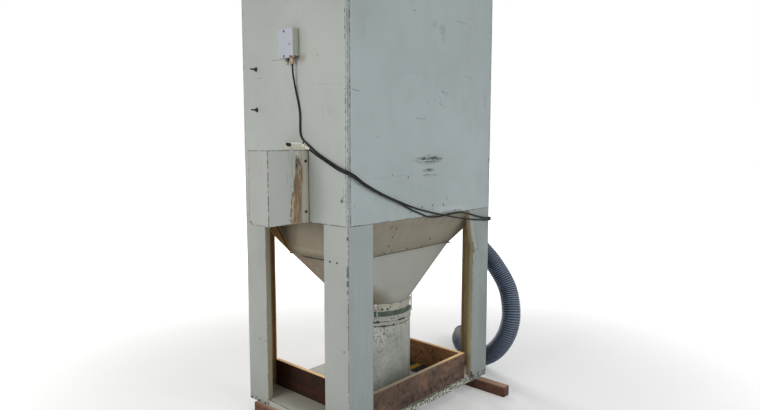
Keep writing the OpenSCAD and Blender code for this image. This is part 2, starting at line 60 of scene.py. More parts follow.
SCRAPE_FOOT, SCRAPE_TOP = 1.113, 1.430
WING_X, BOARD_Y, TAPE_X = -442, -385, -617
LEFT, RIGHT, FRONT, BACK = (-1, 0, 0), (1, 0, 0), (0, -1, 0), (0, 1, 0)


def at(x, y, z):
    """A point of the row frame, in metres, from the cabinet's own millimetres."""
    return CENTRE + Vector((x, y, z)) / 1000


def level(axis, mm):
    """A place along one axis of the row frame, in metres."""
    return at(mm, mm, mm)["xyz".index(axis)]


def srgb(red, green, blue):
    """Linear colour from 0 to 255 display values."""
    parts = [c / 255 for c in (red, green, blue)]
    return tuple(c / 12.92 if c <= 0.04045 else ((c + 0.055) / 1.055) ** 2.4 for c in parts) + (1.0,)


def shade(tone, *shares):
    """A tone's linear colour times one share, or one for each of red, green and blue."""
    return tuple(c * share for c, share in zip(srgb(*tone), shares * (3 // len(shares)))) + (1.0,)


# Camera: as far from the near corner as in the photograph, looking slightly down
LENS = 27.85
YAW = 42.425
PITCH = 5.9
camera_data = bpy.data.cameras.new("camera")
camera_data.lens = LENS
camera_data.sensor_width = 36.0
camera = bpy.data.objects.new("camera", camera_data)
camera.location = at(-2474.8, -2311.6, 1489.8)
camera.rotation_euler = (math.radians(90 - PITCH), 0, math.radians(YAW - 90))
bpy.context.scene.collection.objects.link(camera)
bpy.context.scene.camera = camera

# Routes of the leads and the hose, the same points as in the part's source
UPPER_ROUTE = [
    (-622, -45, 1876), (-621, -45, 1840), (-616, -47, 1800), (-610, -54, 1745), (-608, -68, 1690),
    (-608, -78, 1640), (-608, -82, 1536), (-608, -100, 1511), (-608, -140, 1486), (-608, -193, 1453),
    (-609, -277, 1414), (-615, -352, 1384), (-612, -393, 1370), (-600, -411, 1362), (-572, -415, 1348),
    (-510, -409, 1313), (-420, -407, 1270), (-333, -407, 1234), (-240, -407, 1201), (-150, -407, 1170),
    (-60, -409, 1145), (40, -414, 1121), (125, -418, 1103), (220, -414, 1084), (320, -409, 1066),
    (430, -408, 1050), (530, -411, 1039), (575, -417, 1036), (600, -412, 1035), (612, -398, 1034),
    (615, -365, 1033), (601, -240, 1032), (578, -207, 1034), (556, -194, 1045), (546, -190, 1064),
    (545, -190, 1085)]
LOWER_ROUTE = [
    (-612, -147, 1465), (-610, -200, 1438), (-610, -277, 1403), (-615, -352, 1373), (-612, -393, 1359),
    (-600, -411, 1351), (-572, -417, 1336), (-511, -416, 1301), (-401, -416, 1252), (-283, -416, 1208),
    (-220, -414, 1183), (-150, -408, 1154), (-81, -407, 1130), (-20, -407, 1109), (40, -407, 1100),
    (125, -407, 1100), (215, -407, 1105), (300, -407, 1103), (364, -408, 1091), (448, -409, 1070),
    (530, -412, 1052), (575, -417, 1047), (600, -412, 1046), (612, -398, 1045), (615, -365, 1044),
    (603, -210, 1044), (585, -165, 1044), (558, -147, 1052), (546, -145, 1068), (545, -145, 1085)]
HOSE_ROUTE = [
    (766, -150, 1122), (766, -153, 1080), (767, -189, 889), (778, -215, 836), (817, -303, 725),
    (825, -409, 571), (787, -463, 421), (774, -460, 337), (764, -435, 258), (761, -367, 160),
    (781, -264, 87), (817, -170, 60), (892, -64, 60), (980, 42, 60), (1060, 112, 60), (1130, 150, 60)]
LEAD_D = 0.009
LEAD_STEP = 0.008
LEAD_SIDES = 16
HOSE_R = 0.060
HOSE_SIDES = 48
RIB_PITCH = 0.0135
RIB_DEPTH = 0.0045
RIB_STEPS = 6

# Display colours. The narrow faces are painted warmer and lighter than the wide ones: painted light on one cream
# paint
DARK_CHIP = (52, 52, 46)
GRIME = (92, 98, 94)
NARROW_LIT_TONE = (164, 169, 165)
WIDE_SHADED_TONE = (157, 166, 167)
POST_TONE = (156, 160, 156)
NEAR_POST_TONE = (160, 164, 160)
# Painted shade: the right front post is painted darker than the other posts
RIGHT_POST_SHADED_TONE = (136, 139, 131)
# Painted shade: the hopper's upper slope is painted darker and browner than the funnel
HOPPER_SHADED_TONE = (144, 139, 124)
FUNNEL_TONE = (156, 156, 148)
BACK_PLATE_TONE = (206, 174, 118)
BASE_TONE = (170, 170, 158)
BOARD_SUNLIT_TOP = (246, 208, 152)


class Nodes:
    """Short calls that add nodes to a tree. A value is a number, a colour, an output or an axis's name."""

    def __init__(self, tree):
        self.tree = tree
        self.axis = {}

    def feed(self, socket, value):
        value = self.axis[value] if isinstance(value, str) else value
        if isinstance(value, bpy.types.NodeSocket):
            self.tree.links.new(value, socket)
        else:
            socket.default_value = value

    def node(self, kind, *values, output=0, **settings):
        """Adds a node, feeds its inputs in their order, None for one left alone, and returns an output."""
        node = self.tree.nodes.new(kind)
        for key, value in settings.items():
            setattr(node, key, value)
        for socket, value in zip(node.inputs, values):
            if value is not None:
                self.feed(socket, value)
        return node.outputs[output]

    def math(self, operation, first, second=0.0, clamp=False):
        return self.node("ShaderNodeMath", first, second, operation=operation, use_clamp=clamp)

    def chain(self, operation, values):
        whole = values[0]
        for value in values[1:]:
            whole = self.math(operation, whole, value)
        return whole

    def both(self, *masks):
        """The product of masks and strengths."""
        return self.chain("MULTIPLY", masks)

    def either(self, *masks):
        return self.chain("MAXIMUM", masks)

    def seen_directly(self):
        """1 on the rays that see the white backdrop, 0 on those that light the object."""
        return self.either(*(self.node("ShaderNodeLightPath", output=ray)
                             for ray in ("Is Camera Ray", "Is Glossy Ray", "Is Transmission Ray")))


class Finish(Nodes):
    """One material, whose colour is built up in layers. Its places are in millimetres."""

    def __init__(self, name, roughness=0.6, metallic=0.0, specular=0.5):
        self.material = bpy.data.materials.new(name)
        self.material.use_nodes = True
        super().__init__(self.material.node_tree)
        self.sockets = self.tree.nodes["Principled BSDF"].inputs
        for key, value in (("Roughness", roughness), ("Metallic", metallic), ("Specular IOR Level", specular)):
            self.sockets[key].default_value = value
        self.place = self.node("ShaderNodeTexCoord", output="Object")
        self.axis = {axis: self.node("ShaderNodeSeparateXYZ", self.place, output=k) for k, axis in enumerate("xyz")}
        self.colour = None

    def vector(self, operation, *values, output=0):
        return self.node("ShaderNodeVectorMath", *values, output=output, operation=operation)

    def noise(self, scale, detail=3.0, shift=0.0, roughness=0.5, stretch=(1, 1, 1)):
        moved = self.node("ShaderNodeMapping", self.place, (shift, shift * 0.7, shift * 1.3), None, stretch)
        return self.node("ShaderNodeTexNoise", moved, None, scale, detail, roughness)

    def ramp(self, value, low, high, first=0.0, last=1.0):
        """Goes smoothly from the first to the last value between low and high, which are in metres for an axis."""
        return self.node("ShaderNodeMapRange", value, low, high, first, last, interpolation_type="SMOOTHSTEP")

    def fall(self, value, low, high):
        return self.ramp(value, low, high, 1.0, 0.0)

    def noisy(self, low, high, scale, detail=3.0, shift=0.0, roughness=0.5, tall=1.0):
        """A mask of blots where the noise passes from low to high."""
        return self.ramp(self.noise(scale, detail, shift, roughness, (1, 1, tall)), low, high)

    def rise(self, axis, low, high):
        return self.ramp(axis, level(axis, low), level(axis, high))

    def drop(self, axis, low, high):
        return self.fall(axis, level(axis, low), level(axis, high))

    def between(self, axis, low, high, soft):
        return self.both(self.rise(axis, low - soft, low + soft), self.drop(axis, high - soft, high + soft))

    def near(self, axis, mm, inner, outer):
        """1 within the inner distance of a plane across an axis, 0 past the outer one."""
        away = self.math("ABSOLUTE", self.math("SUBTRACT", axis, level(axis, mm)))
        return self.fall(away, inner / 1000, outer / 1000)

    def patch(self, point, size, inner=0.5):
        """A soft ellipsoid round a point: 1 within the inner share of its half axes, 0 past them."""
        away = self.vector("SUBTRACT", self.place, at(*point))
        scaled = self.vector("MULTIPLY", away, tuple(1000 / s for s in size))
        return self.fall(self.vector("LENGTH", scaled, output=1), inner, 1.0)

    def normal(self, axis):
        return self.node("ShaderNodeSeparateXYZ", self.node("ShaderNodeNewGeometry", output="Normal"),
                         output="xyz".index(axis))

    def facing_up(self):
        return self.ramp(self.normal("z"), 0.4, 0.8)

    def facing_left(self):
        """1 on faces turned towards the narrow side with the side box."""
        return self.ramp(self.both(self.normal("x"), -1.0), 0.4, 0.8)

    def mix(self, factor, first, second):
        return self.node("ShaderNodeMix", factor, *[None] * 5, first, second, output=2, data_type="RGBA")

    def lay(self, colour, *masks):
        """Lays a linear colour over what is there, as far as the masks and strengths say."""
        self.colour = self.mix(self.both(*masks), self.colour, colour)

    def paint(self, tone, *masks):
        self.lay(srgb(*tone), *masks)

    def smudge(self, x, z, width, height, strength, tone, lines, threshold):
        """A scuffed patch of short level lines on the wide wall."""
        drawn = self.noisy(threshold, threshold + 0.14, lines, 4.0, z * 0.01, 0.7, 5.5)
        self.paint(tone, self.patch((x, WALL_Y, z), (width, 30, height), 0.2), drawn, strength)

    def stroke(self, start, end, width, strength, tone):
        """A thin straight scratch or streak between two points of a face."""
        a = at(*start)
        along = at(*end) - a
        away = self.vector("SUBTRACT", self.place, a)
        share = self.vector("DOT_PRODUCT", away, along / along.length_squared, output=1)
        foot = self.vector("SCALE", along, None, None, self.math("ADD", share, 0.0, clamp=True))
        gap = self.vector("DISTANCE", away, foot, output=1)
        self.paint(tone, self.fall(gap, width * 0.0002, width * 0.0007), strength)

    def strokes(self, tone, axis, mm, *rows):
        """Strokes on the face at mm across an axis; the rows are (u, z, u, z, width, strength)."""
        for u0, z0, u1, z1, width, strength in rows:
            start, end = ((mm, u, z) if axis == "x" else (u, mm, z) for u, z in ((u0, z0), (u1, z1)))
            self.stroke(start, end, width, strength, tone)

    def dots(self, tone, axis, mm, *rows):
        """Round dots on the face at mm across an axis; the rows are (u, z, radius, strength)."""
        for u, z, radius, strength in rows:
            point = (mm, u, z) if axis == "x" else (u, mm, z)
            self.paint(tone, self.patch(point, (radius,) * 3), strength)

    def finish(self, roughness=None, height=None, strength=0.3, distance=0.001):
        """Feeds the shader and gives the material; height is what the bumps follow."""
        self.feed(self.sockets["Base Color"], self.colour)
        if roughness is not None:
            self.feed(self.sockets["Roughness"], roughness)
        if height is not None:
            bump = self.tree.nodes.new("ShaderNodeBump")
            for key, value in (("Strength", strength), ("Distance", distance), ("Height", height)):
                self.feed(bump.inputs[key], value)
            self.feed(self.sockets["Normal"], bump.outputs[0])
        return self.material


def painted(name, tone, dirt=GRIME, edges=(), chips=0.55, marks=None, streaks=0.10, wear=1.0):
    """Chalky sheet-metal paint. edges are the lines that chip, each where two planes (axis, mm) meet."""
    f = Finish(name, roughness=0.62)
    f.colour = f.mix(f.noisy(0.3, 0.7, 2.2, 2.0), shade(tone, 0.94), shade(tone, 1.05))
    f.paint(dirt, f.noisy(0.45, 0.75, 24.0, 4.0, 3.1, 0.65, 0.16), f.noisy(0.42, 0.62, 3.0, 3.0, 7.7), streaks)
    f.paint(dirt, f.noisy(0.60, 0.80, 7.0, 5.0, 8.3, 0.65, 0.4), 0.07 * wear)
    f.paint(dirt, f.ramp("z", 1.6, 2.6, 0.0, 0.14))
    chip = f.both(f.noisy(0.745, 0.775, 95.0, 2.0, 5.2), f.noisy(0.50, 0.62, 5.0, 2.0, 12.0), 0.75 * wear)
    ragged = f.math("ADD", f.noise(70.0, 4.0, 2.4, 0.7), f.both(f.noisy(0.42, 0.62, 9.0, 3.0, 6.6), 0.16))
    broken = f.ramp(ragged, chips, chips + 0.05)
    for planes in edges:
        a, b = (f.math("SUBTRACT", axis, level(axis, mm)) for axis, mm in planes)
        away = f.math("SQRT", f.math("ADD", f.both(a, a), f.both(b, b)))
        chip = f.either(chip, f.both(f.fall(away, 0.0008, 0.0052), broken))
    f.paint(DARK_CHIP, chip)
    if marks:
        marks(f)
    waves = f.math("ADD", f.both(f.noise(420.0, 2.0, 1.7), 0.25), f.both(f.noise(1.6, 1.0, 4.4), 3.0))
    return f.finish(roughness=f.ramp(f.noise(14.0, 3.0, 9.9), 0.3, 0.7, 0.50, 0.68),
                    height=f.math("SUBTRACT", waves, f.both(chip, 0.4)), strength=0.35, distance=0.0012)


def plain(name, low, high, blots, bumps, roughness, share=1.0, marks=None, **settings):
    """A material of two tones. blots go to noisy(), and bumps are a noise's scale and detail and the strength."""
    f = Finish(name, roughness, **settings)
    f.colour = srgb(*low)
    f.paint(high, f.noisy(*blots), share)
    if marks:
        marks(f)
    return f.finish(height=f.noise(*bumps[:2]), strength=bumps[2])


def linked(name, bm, material):
    bmesh.ops.recalc_face_normals(bm, faces=bm.faces)
    mesh = bpy.data.meshes.new(name)
    bm.to_mesh(mesh)
    bm.free()
    mesh.materials.append(material)
    item = bpy.data.objects.new(name, mesh)
    bpy.context.scene.collection.objects.link(item)
    return item


def make_piece(name, bm, material, smooth=False, sharp=None, node=None):
    """A piece of the visual model. node is the CAD node that it takes the place of."""
    piece = linked(name, bm, material)
    if smooth:
        piece.data.polygons.foreach_set("use_smooth", [True] * len(piece.data.polygons))
    if sharp:
        piece.data.set_sharp_from_angle(angle=math.radians(sharp))
    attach(piece, "root")
    if node:
        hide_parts(node)
    return piece


def ring_at(bm, centre, side, other, sides):
    """A ring of vertices; side and other are its half axes."""
    turns = [2 * math.pi * j / sides for j in range(sides)]
    return [bm.verts.new(centre + math.cos(a) * side + math.sin(a) * other) for a in turns]


def bridge(bm, rings, caps=True):
    for low, high in zip(rings, rings[1:]):
        for j in range(len(low)):
            k = (j + 1) % len(low)
            bm.faces.new((low[j], low[k], high[k], high[j]))
    if caps:
        bm.faces.new(rings[0][::-1])
        bm.faces.new(rings[-1])


def box_mesh(node):
    """A cube in the place of a CAD block, and the block's corners."""
    low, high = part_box(node)
    bm = bmesh.new()
    grown = Matrix.Diagonal((*(high - low), 1.0))
    bmesh.ops.create_cube(bm, size=1.0, matrix=Matrix.Translation((low + high) / 2) @ grown)
    return bm, low, high


def smooth_route(route, step):
    """Evenly spaced points in metres along a smooth curve through the route's points."""
    points = [at(*p) for p in route]
    ends = [2 * points[0] - points[1]] + points + [2 * points[-1] - points[-2]]
    dense = []
    for k in range(1, len(ends) - 2):
        p0, p1, p2, p3 = ends[k - 1:k + 3]
        t1 = (p1 - p0).length ** 0.5
        t2 = t1 + (p2 - p1).length ** 0.5
        t3 = t2 + (p3 - p2).length ** 0.5
        for j in range(12):
            t = t1 + (t2 - t1) * j / 12
            a1 = p0 * ((t1 - t) / t1) + p1 * (t / t1)
            a2 = p1 * ((t2 - t) / (t2 - t1)) + p2 * ((t - t1) / (t2 - t1))
            a3 = p2 * ((t3 - t) / (t3 - t2)) + p3 * ((t - t2) / (t3 - t2))
            b1 = a1 * ((t2 - t) / t2) + a2 * (t / t2)
            b2 = a2 * ((t3 - t) / (t3 - t1)) + a3 * ((t - t1) / (t3 - t1))
            dense.append(b1 * ((t2 - t) / (t2 - t1)) + b2 * ((t - t1) / (t2 - t1)))
    dense.append(points[-1])
    run = [0.0]
    for a, b in zip(dense, dense[1:]):
        run.append(run[-1] + (b - a).length)
    count = max(2, round(run[-1] / step))
    even, k = [], 0
    for j in range(count + 1):
        goal = run[-1] * j / count
        while k < len(run) - 2 and run[k + 1] < goal:
            k += 1
        share = (goal - run[k]) / max(run[k + 1] - run[k], 1e-9)
        even.append(dense[k].lerp(dense[k + 1], min(1.0, max(0.0, share))))
    return even


def tube(name, path, radii, sides, material, caps=True, node=None):
    """A round tube along path, with its own radius at each point."""
    bm = bmesh.new()
    side = None
    rings = []
    for k, point in enumerate(path):
        heading = (path[min(k + 1, len(path) - 1)] - path[max(k - 1, 0)]).normalized()
        if side is None:
            side = heading.cross(Vector((0.3, 1, 0))).normalized()
        side = (side - heading * side.dot(heading)).normalized()
        rings.append(ring_at(bm, point, radii[k] * side, radii[k] * heading.cross(side), sides))
    bridge(bm, rings, caps)
    return make_piece(name, bm, material, smooth=True, node=node)


def hose_finish(name, low, high, sky_sheen):
    def marks(f):
        f.paint((112, 112, 108), f.noisy(0.55, 0.8, 28.0, 4.0, 2.0), 0.20)
        # Painted sky reflection on the faces turned up, and painted shade, dark navy, low down near the ground
        f.paint((150, 162, 178), f.facing_up(), sky_sheen)
        f.paint((46, 60, 80), f.ramp("z", 0.06, 0.62, 0.55, 0.0))
        f.paint((122, 111, 102), f.ramp("x", 0.92, 1.04, 0.0, 0.65))
    return plain(name, low, high, (0.35, 0.7, 6.0), (200.0, 2.0, 0.12), 0.40, marks=marks)


lead_black = plain("lead_black", (4, 5, 8), (24, 27, 33), (0.50, 0.78, 60.0), (300.0, 2.0, 0.1), 0.6, 0.22,
                   specular=0.25)
hose_grey = hose_finish("hose_grey", (92, 116, 148), (118, 140, 170), 0.30)
hose_shaded_valleys = hose_finish("hose_shaded_valleys", (7, 10, 16), (15, 20, 29), 0.0)

upper_path = smooth_route(UPPER_ROUTE, LEAD_STEP)
lower_path = smooth_route(LOWER_ROUTE, LEAD_STEP)
upper_lead = tube("upper_lead", upper_path, [LEAD_D / 2] * len(upper_path), LEAD_SIDES, lead_black)
lower_lead = tube("lower_lead", lower_path, [LEAD_D / 2] * len(lower_path), LEAD_SIDES, lead_black)
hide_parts("lead_upper")
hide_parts("lead_lower")

hose_path = smooth_route(HOSE_ROUTE, RIB_PITCH / RIB_STEPS)
for point in hose_path:
    point.z = max(point.z, HOSE_R)
rib_radii = [HOSE_R - RIB_DEPTH * (0.5 - 0.5 * math.cos(2 * math.pi * step / RIB_STEPS)) ** 1.5
             for step in range(len(hose_path))]
ribbed_hose = tube("ribbed_hose", hose_path, rib_radii, HOSE_SIDES, hose_grey, caps=False)
ribbed_hose.data.materials.append(hose_shaded_valleys)
# The crests take the lit material and the valleys the dark one: painted highlights and painted shade on the ribs
for face in ribbed_hose.data.polygons:
    face.material_index = 0 if face.index // HOSE_SIDES % RIB_STEPS in (0, RIB_STEPS - 1) else 1
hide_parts("inlet_hose")


def node_paint(material, *names):
    for name in names:
        slots = nodes[name].data.materials
        slots.clear()
        slots.append(material)


def corners(*points):
    """Upright edge lines, for painted()."""
    return tuple((("x", x), ("y", y)) for x, y in points)


def front_marks(f):
    """Scuffs, scratches and dots of the wide wall."""
    for row in (
        (-8, 1408, 150, 30, 1.0, (30, 38, 38), 16.0, 0.41), (50, 1420, 110, 26, 0.9, (36, 46, 46), 24.0, 0.46),
        (-7, 1354, 64, 14, 0.9, (48, 56, 54), 22.0, 0.40), (8, 1327, 96, 10, 0.7, (56, 64, 62), 22.0, 0.44),
        (113, 2070, 34, 70, 0.40, (90, 112, 110), 34.0, 0.42), (104, 2096, 40, 30, 0.35, (90, 112, 110), 34.0, 0.42),
        (39, 2112, 30, 30, 0.35, (104, 120, 120), 20.0, 0.36), (531, 1755, 30, 90, 0.4, (104, 118, 118), 20.0, 0.42)
    ):
        f.smudge(*row)
    f.paint((84, 96, 96), f.noisy(0.60, 0.66, 48.0, 3.0, 4.9, 0.7),
            f.patch((75, WALL_Y, 1735), (150, 100, 120), 0.3), 0.65)
    f.strokes((92, 104, 102), "y", WALL_Y, (225, 2157, 330, 2154, 6, 0.40), (311, 1871, 388, 1858, 6, 0.35),
              (-115, 1622, -39, 1620, 7, 0.45), (-569, 1737, -528, 1732, 10, 0.40), (-560, 1712, -520, 1718, 5, 0.18),
              (-350, 1828, 159, 1873, 4, 0.12), (-440, 1325, -120, 1338, 4, 0.22), (-57, 1162, -57, 1148, 4, 0.30),
              (33, 1165, 34, 1133, 4, 0.50), (131, 1165, 131, 1147, 7, 0.45), (220, 1755, 220, 1728, 6, 0.40),
              (-587, 1157, -587, 1126, 9, 0.75))
    f.dots(DARK_CHIP, "y", WALL_Y, (-172, 1322, 8, 0.7), (-294, 1339, 6, 0.6), (-129, 2155, 8, 0.5),
           (99, 1700, 6, 0.5), (60, 1752, 5, 0.5), (134, 1690, 5, 0.5), (-400, 1526, 6, 0.4), (164, 1190, 8, 0.35),
           (-560, 1205, 9, 0.2), (-420, 1225, 9, 0.15), (582, 1969, 6, 0.6), (584, 1877, 7, 0.7), (580, 1800, 5, 0.5),
           (585, 1645, 6, 0.6), (579, 1521, 6, 0.5), (583, 1396, 7, 0.7), (580, 1310, 5, 0.6), (584, 1240, 6, 0.7),
           (568, 1204, 6, 0.5), (574, 2140, 6, 0.5))
    # A pale band where the leads lie on the wall's foot, and under it a grey stroke of painted shade where the
    # sheet's lower edge is bent
    f.strokes((186, 188, 184), "y", WALL_Y, (60, 1136, 330, 1124, 34, 0.35))
    f.strokes((104, 110, 112), "y", WALL_Y, (120, 1117, 300, 1117, 14, 0.55))
    # Old filler beside the near corner, dark and broken
    ragged = f.ramp(f.noise(16.0, 4.0, 3.3, 0.7), 0.34, 0.54, 0.25, 1.0)
    f.paint((92, 106, 102), f.near("x", -584, 1.6, 4.2), ragged, 0.62)
    # A faint pale line beside it: a painted highlight on the sheet's edge
    f.paint((190, 196, 196), f.near("x", -577, 1, 4), 0.22)


def narrow_marks(f):
    """Marks of the narrow wall: faint scratches, and a dash and a dot near the corner."""
    f.strokes((88, 94, 90), "x", WALL_X, (258, 1831, 236, 1831, 8, 0.40), (-178, 1774, -368, 1762, 5, 0.16),
              (-232, 1665, -245, 1600, 7, 0.16), (-273, 1660, -280, 1625, 7, 0.16), (-300, 1580, -306, 1500, 6, 0.08),
              (-373, 1290, -375, 1256, 6, 0.30), (-366, 1229, -398, 1228, 7, 0.40), (-350, 1170, -342, 1176, 8, 0.12),
              (-60, 2060, -58, 2140, 6, 0.06))
    f.dots(DARK_CHIP, "x", WALL_X, (-369, 1244, 9, 0.45), (-361, 1228, 13, 0.75), (-204, 1904, 6, 0.4),
           (-391, 1849, 9, 0.4))
    # Beside the switch box and the lead: a painted shadow of the box on the wall, and a brown patch lower down
    f.paint((128, 130, 118), f.patch((WALL_X, -90, 1960), (100, 60, 110), 0.2), 0.22)
    f.paint((118, 96, 84), f.patch((WALL_X, -92, 1900), (100, 46, 34), 0.1), 0.5)
    # A faint pale line beside the corner: a painted highlight on the sheet's edge
    f.paint((190, 194, 190), f.near("y", -384, 1, 4), 0.30)


def side_box_marks(f):
    """The long rusty scrape on the side box, its chipped near fold and its screws."""
    height = f.ramp("z", SCRAPE_FOOT, SCRAPE_TOP)
    left, right = (f.ramp(height, 0.0, 1.0, level("x", foot), level("x", top))
                   for foot, top in ((-716, -680), (-648, -634)))
    torn = f.math("SUBTRACT", f.noise(30.0, 6.0, 2.0, 0.75, (1, 1, 0.22)), 0.5)
    from_left = f.math("SUBTRACT", f.math("ADD", "x", f.both(torn, 0.085)), left)
    from_right = f.math("SUBTRACT", right, f.math("ADD", "x", f.both(torn, 0.012)))
    lower_end = f.ramp(f.math("ADD", "z", f.both(torn, 0.05)), SCRAPE_FOOT, SCRAPE_FOOT + 0.002)
    frayed = f.math("SUBTRACT", f.noise(95.0, 4.0, 8.3, 0.6, (1, 1, 0.12)), 0.42)
    upper_end = f.fall(f.math("ADD", "z", f.both(frayed, 0.34)), 1.424, SCRAPE_TOP)
    face = f.near("y", BOX_Y, 2, 4)
    flakes = f.noisy(0.38, 0.45, 85.0, 6.0, 7.0, 0.8, 0.16)
    uneven = f.noisy(0.36, 0.54, 70.0, 5.0, 4.4, 0.7, 0.3)
    top_spot = f.both(f.patch((-668, BOX_Y, 1398), (20, 100, 40)), uneven)
    bare = f.both(f.ramp(from_left, 0.0, 0.003), f.ramp(from_right, -0.001, 0.002), lower_end, upper_end, face,
                  flakes)
    scrape = f.either(bare, f.both(top_spot, face))
    f.paint((196, 195, 172), f.rise("x", -646, -636), face, 0.8)
    close_face = f.near("y", BOX_Y, 1, 3)
    f.paint((178, 174, 164), close_face, 0.35)
    f.paint((143, 137, 135), f.near("x", BOX_X, 1, 3), 0.30)
    f.strokes((206, 202, 190), "y", BOX_Y, (-668, 1452, -656, 1418, 36, 0.45))
    lower_rim = f.ramp("z", SCRAPE_FOOT, SCRAPE_FOOT + 0.002)
    torn_rim = f.both(f.ramp(from_left, -0.0035, -0.0012), f.fall(from_left, 0.0010, 0.0030), lower_rim,
                      f.fall("z", 1.410, SCRAPE_TOP), close_face, f.noisy(0.46, 0.54, 26.0, 4.0, 6.2, 0.5, 0.4))
    streaky = f.noisy(0.38, 0.62, 60.0, 5.0, 3.0, 0.65, 0.10)
    # The bare, rusty sheet, laid over the paint where the scrape is
    paint_tone, f.colour = f.colour, f.mix(streaky, srgb(118, 92, 66), srgb(162, 136, 106))
    f.paint((200, 176, 146), f.fall(from_left, 0.004, 0.020), f.fall("z", 1.20, 1.28), 0.8)
    f.paint((96, 68, 46), f.noisy(0.54, 0.64, 52.0, 4.0, 5.5, 0.5, 0.16), 0.7)
    f.paint((78, 46, 40), top_spot)
    f.paint((70, 54, 44), f.patch((-706, BOX_Y, 1130), (20, 100, 26), 0.3), streaky, 0.9)
    f.colour = f.mix(scrape, paint_tone, f.colour)
    f.paint((78, 68, 50), torn_rim, 0.8)
    f.strokes((82, 68, 52), "y", BOX_Y, (-712, 1186, -716, 1150, 9, 0.75), (-708, 1232, -710, 1204, 7, 0.75),
              (-690, 1330, -694, 1282, 5, 0.75), (-646, 1372, -645, 1318, 5, 0.75), (-700, 1262, -702, 1244, 6, 0.75))
    f.strokes((60, 54, 44), "y", BOX_Y, (-676, 1436, -680, 1378, 6, 0.7))
    f.strokes((110, 104, 88), "y", BOX_Y, (-706, 1440, -703, 1330, 6, 0.35), (-723, 1459, -719, 1400, 6, 0.25),
              (-735, 1350, -733, 1310, 6, 0.3), (-652, 1452, -650, 1430, 6, 0.3), (-690, 1440, -688, 1432, 6, 0.3))
    f.strokes((58, 58, 50), "y", BOX_Y, *((BOX_X, z0, BOX_X, z1, 7, 0.8) for z0, z1 in (
        (1459, 1438), (1414, 1400), (1387, 1382), (1359, 1323), (1309, 1300), (1250, 1209), (1195, 1181),
        (1158, 1135), (1128, 1114))))
    f.dots(DARK_CHIP, "y", BOX_Y, (-715, 1149, 4, 0.85), (-719, 1129, 5, 0.85), (-712, 1290, 4, 0.85),
           (-708, 1215, 3, 0.85))
    f.strokes((92, 70, 54), "x", BOX_X, (24, 1126, 0, 1120, 11, 0.75))
    upright = f.math("SUBTRACT", 1.0, f.facing_up())
    f.paint((76, 72, 64), f.near("z", BOX_TOP - 0.5, 1.0, 3.6), upright, f.noisy(0.40, 0.56, 30.0, 4.0, 9.0), 0.75)


def inside_fold(f, *axes):
    """How deep a point lies behind the cabinet's outer faces along the axes, at the least, in metres."""
    depths = [f.math("SUBTRACT", half / 1000, f.math("ABSOLUTE", f.math("SUBTRACT", axis, level(axis, 0))))
              for axis, half in (("x", HALF_W), ("y", HALF_D)) if axis in axes]
    return f.chain("MINIMUM", depths)


def post_marks(f, inner):
    """Dirt at the legs' feet, and the leg's dark inner side."""
    f.paint((120, 112, 96), f.fall("z", 0.06, 0.30), 0.22)
    f.paint((44, 36, 30), f.fall("z", 0.062, 0.10), f.noisy(0.52, 0.57, 85.0, 4.0, 1.1))
    f.dots(DARK_CHIP, "x", -HALF_W, (294, 426, 7, 0.55), (242, 426, 7, 0.55), (-397, 1055, 9, 0.8),
           (-369, 511, 9, 0.5))
    # The wide faces are painted bluer and darker, as painted shade, and rubbed in fine upright streaks
    wide = f.ramp(f.math("ABSOLUTE", f.normal("y")), 0.5, 0.9)
    f.paint((130, 143, 146), wide, 0.50)
    f.paint((184, 190, 188), wide, f.noisy(0.52, 0.68, 60.0, 4.0, 2.9, 0.5, 0.07), f.fall("z", 0.86, 0.92), 0.10)
    # The insides of the folds are painted brown, the far lips grey-green
    f.paint(inner, f.ramp(inside_fold(f, "x", "y"), 0.0014, 0.0024), 0.80)
    f.paint((150, 152, 134), f.near("y", INNER_Y, 1, 2), f.ramp(inside_fold(f, "x"), 0.004, 0.006), 0.9)


def left_post_marks(f):
    post_marks(f, (164, 124, 62))
    # A thin golden line on the end of the back flange's lip: a painted highlight
    f.paint((250, 224, 176), f.near("x", -431.5, 3, 5), f.rise("y", 360, 361), f.drop("y", 374, 378), 0.95)


def near_post_marks(f):
    for z0, z1, width, strength in ((1063, 1050, 9, 0.8), (922, 897, 9, 0.9), (892, 876, 11, 0.9),
                                    (854, 832, 11, 0.9), (810, 794, 8, 0.8), (770, 765, 6, 0.6), (722, 700, 5, 0.6),
                                    (640, 633, 6, 0.7)):
        for x, y in ((-HALF_W, -392), (-HALF_W + 2, -HALF_D + 2)):
            f.strokes((58, 66, 66), "x", x, (y, z0, y, z1, width * 0.75, strength))
    left_post_marks(f)


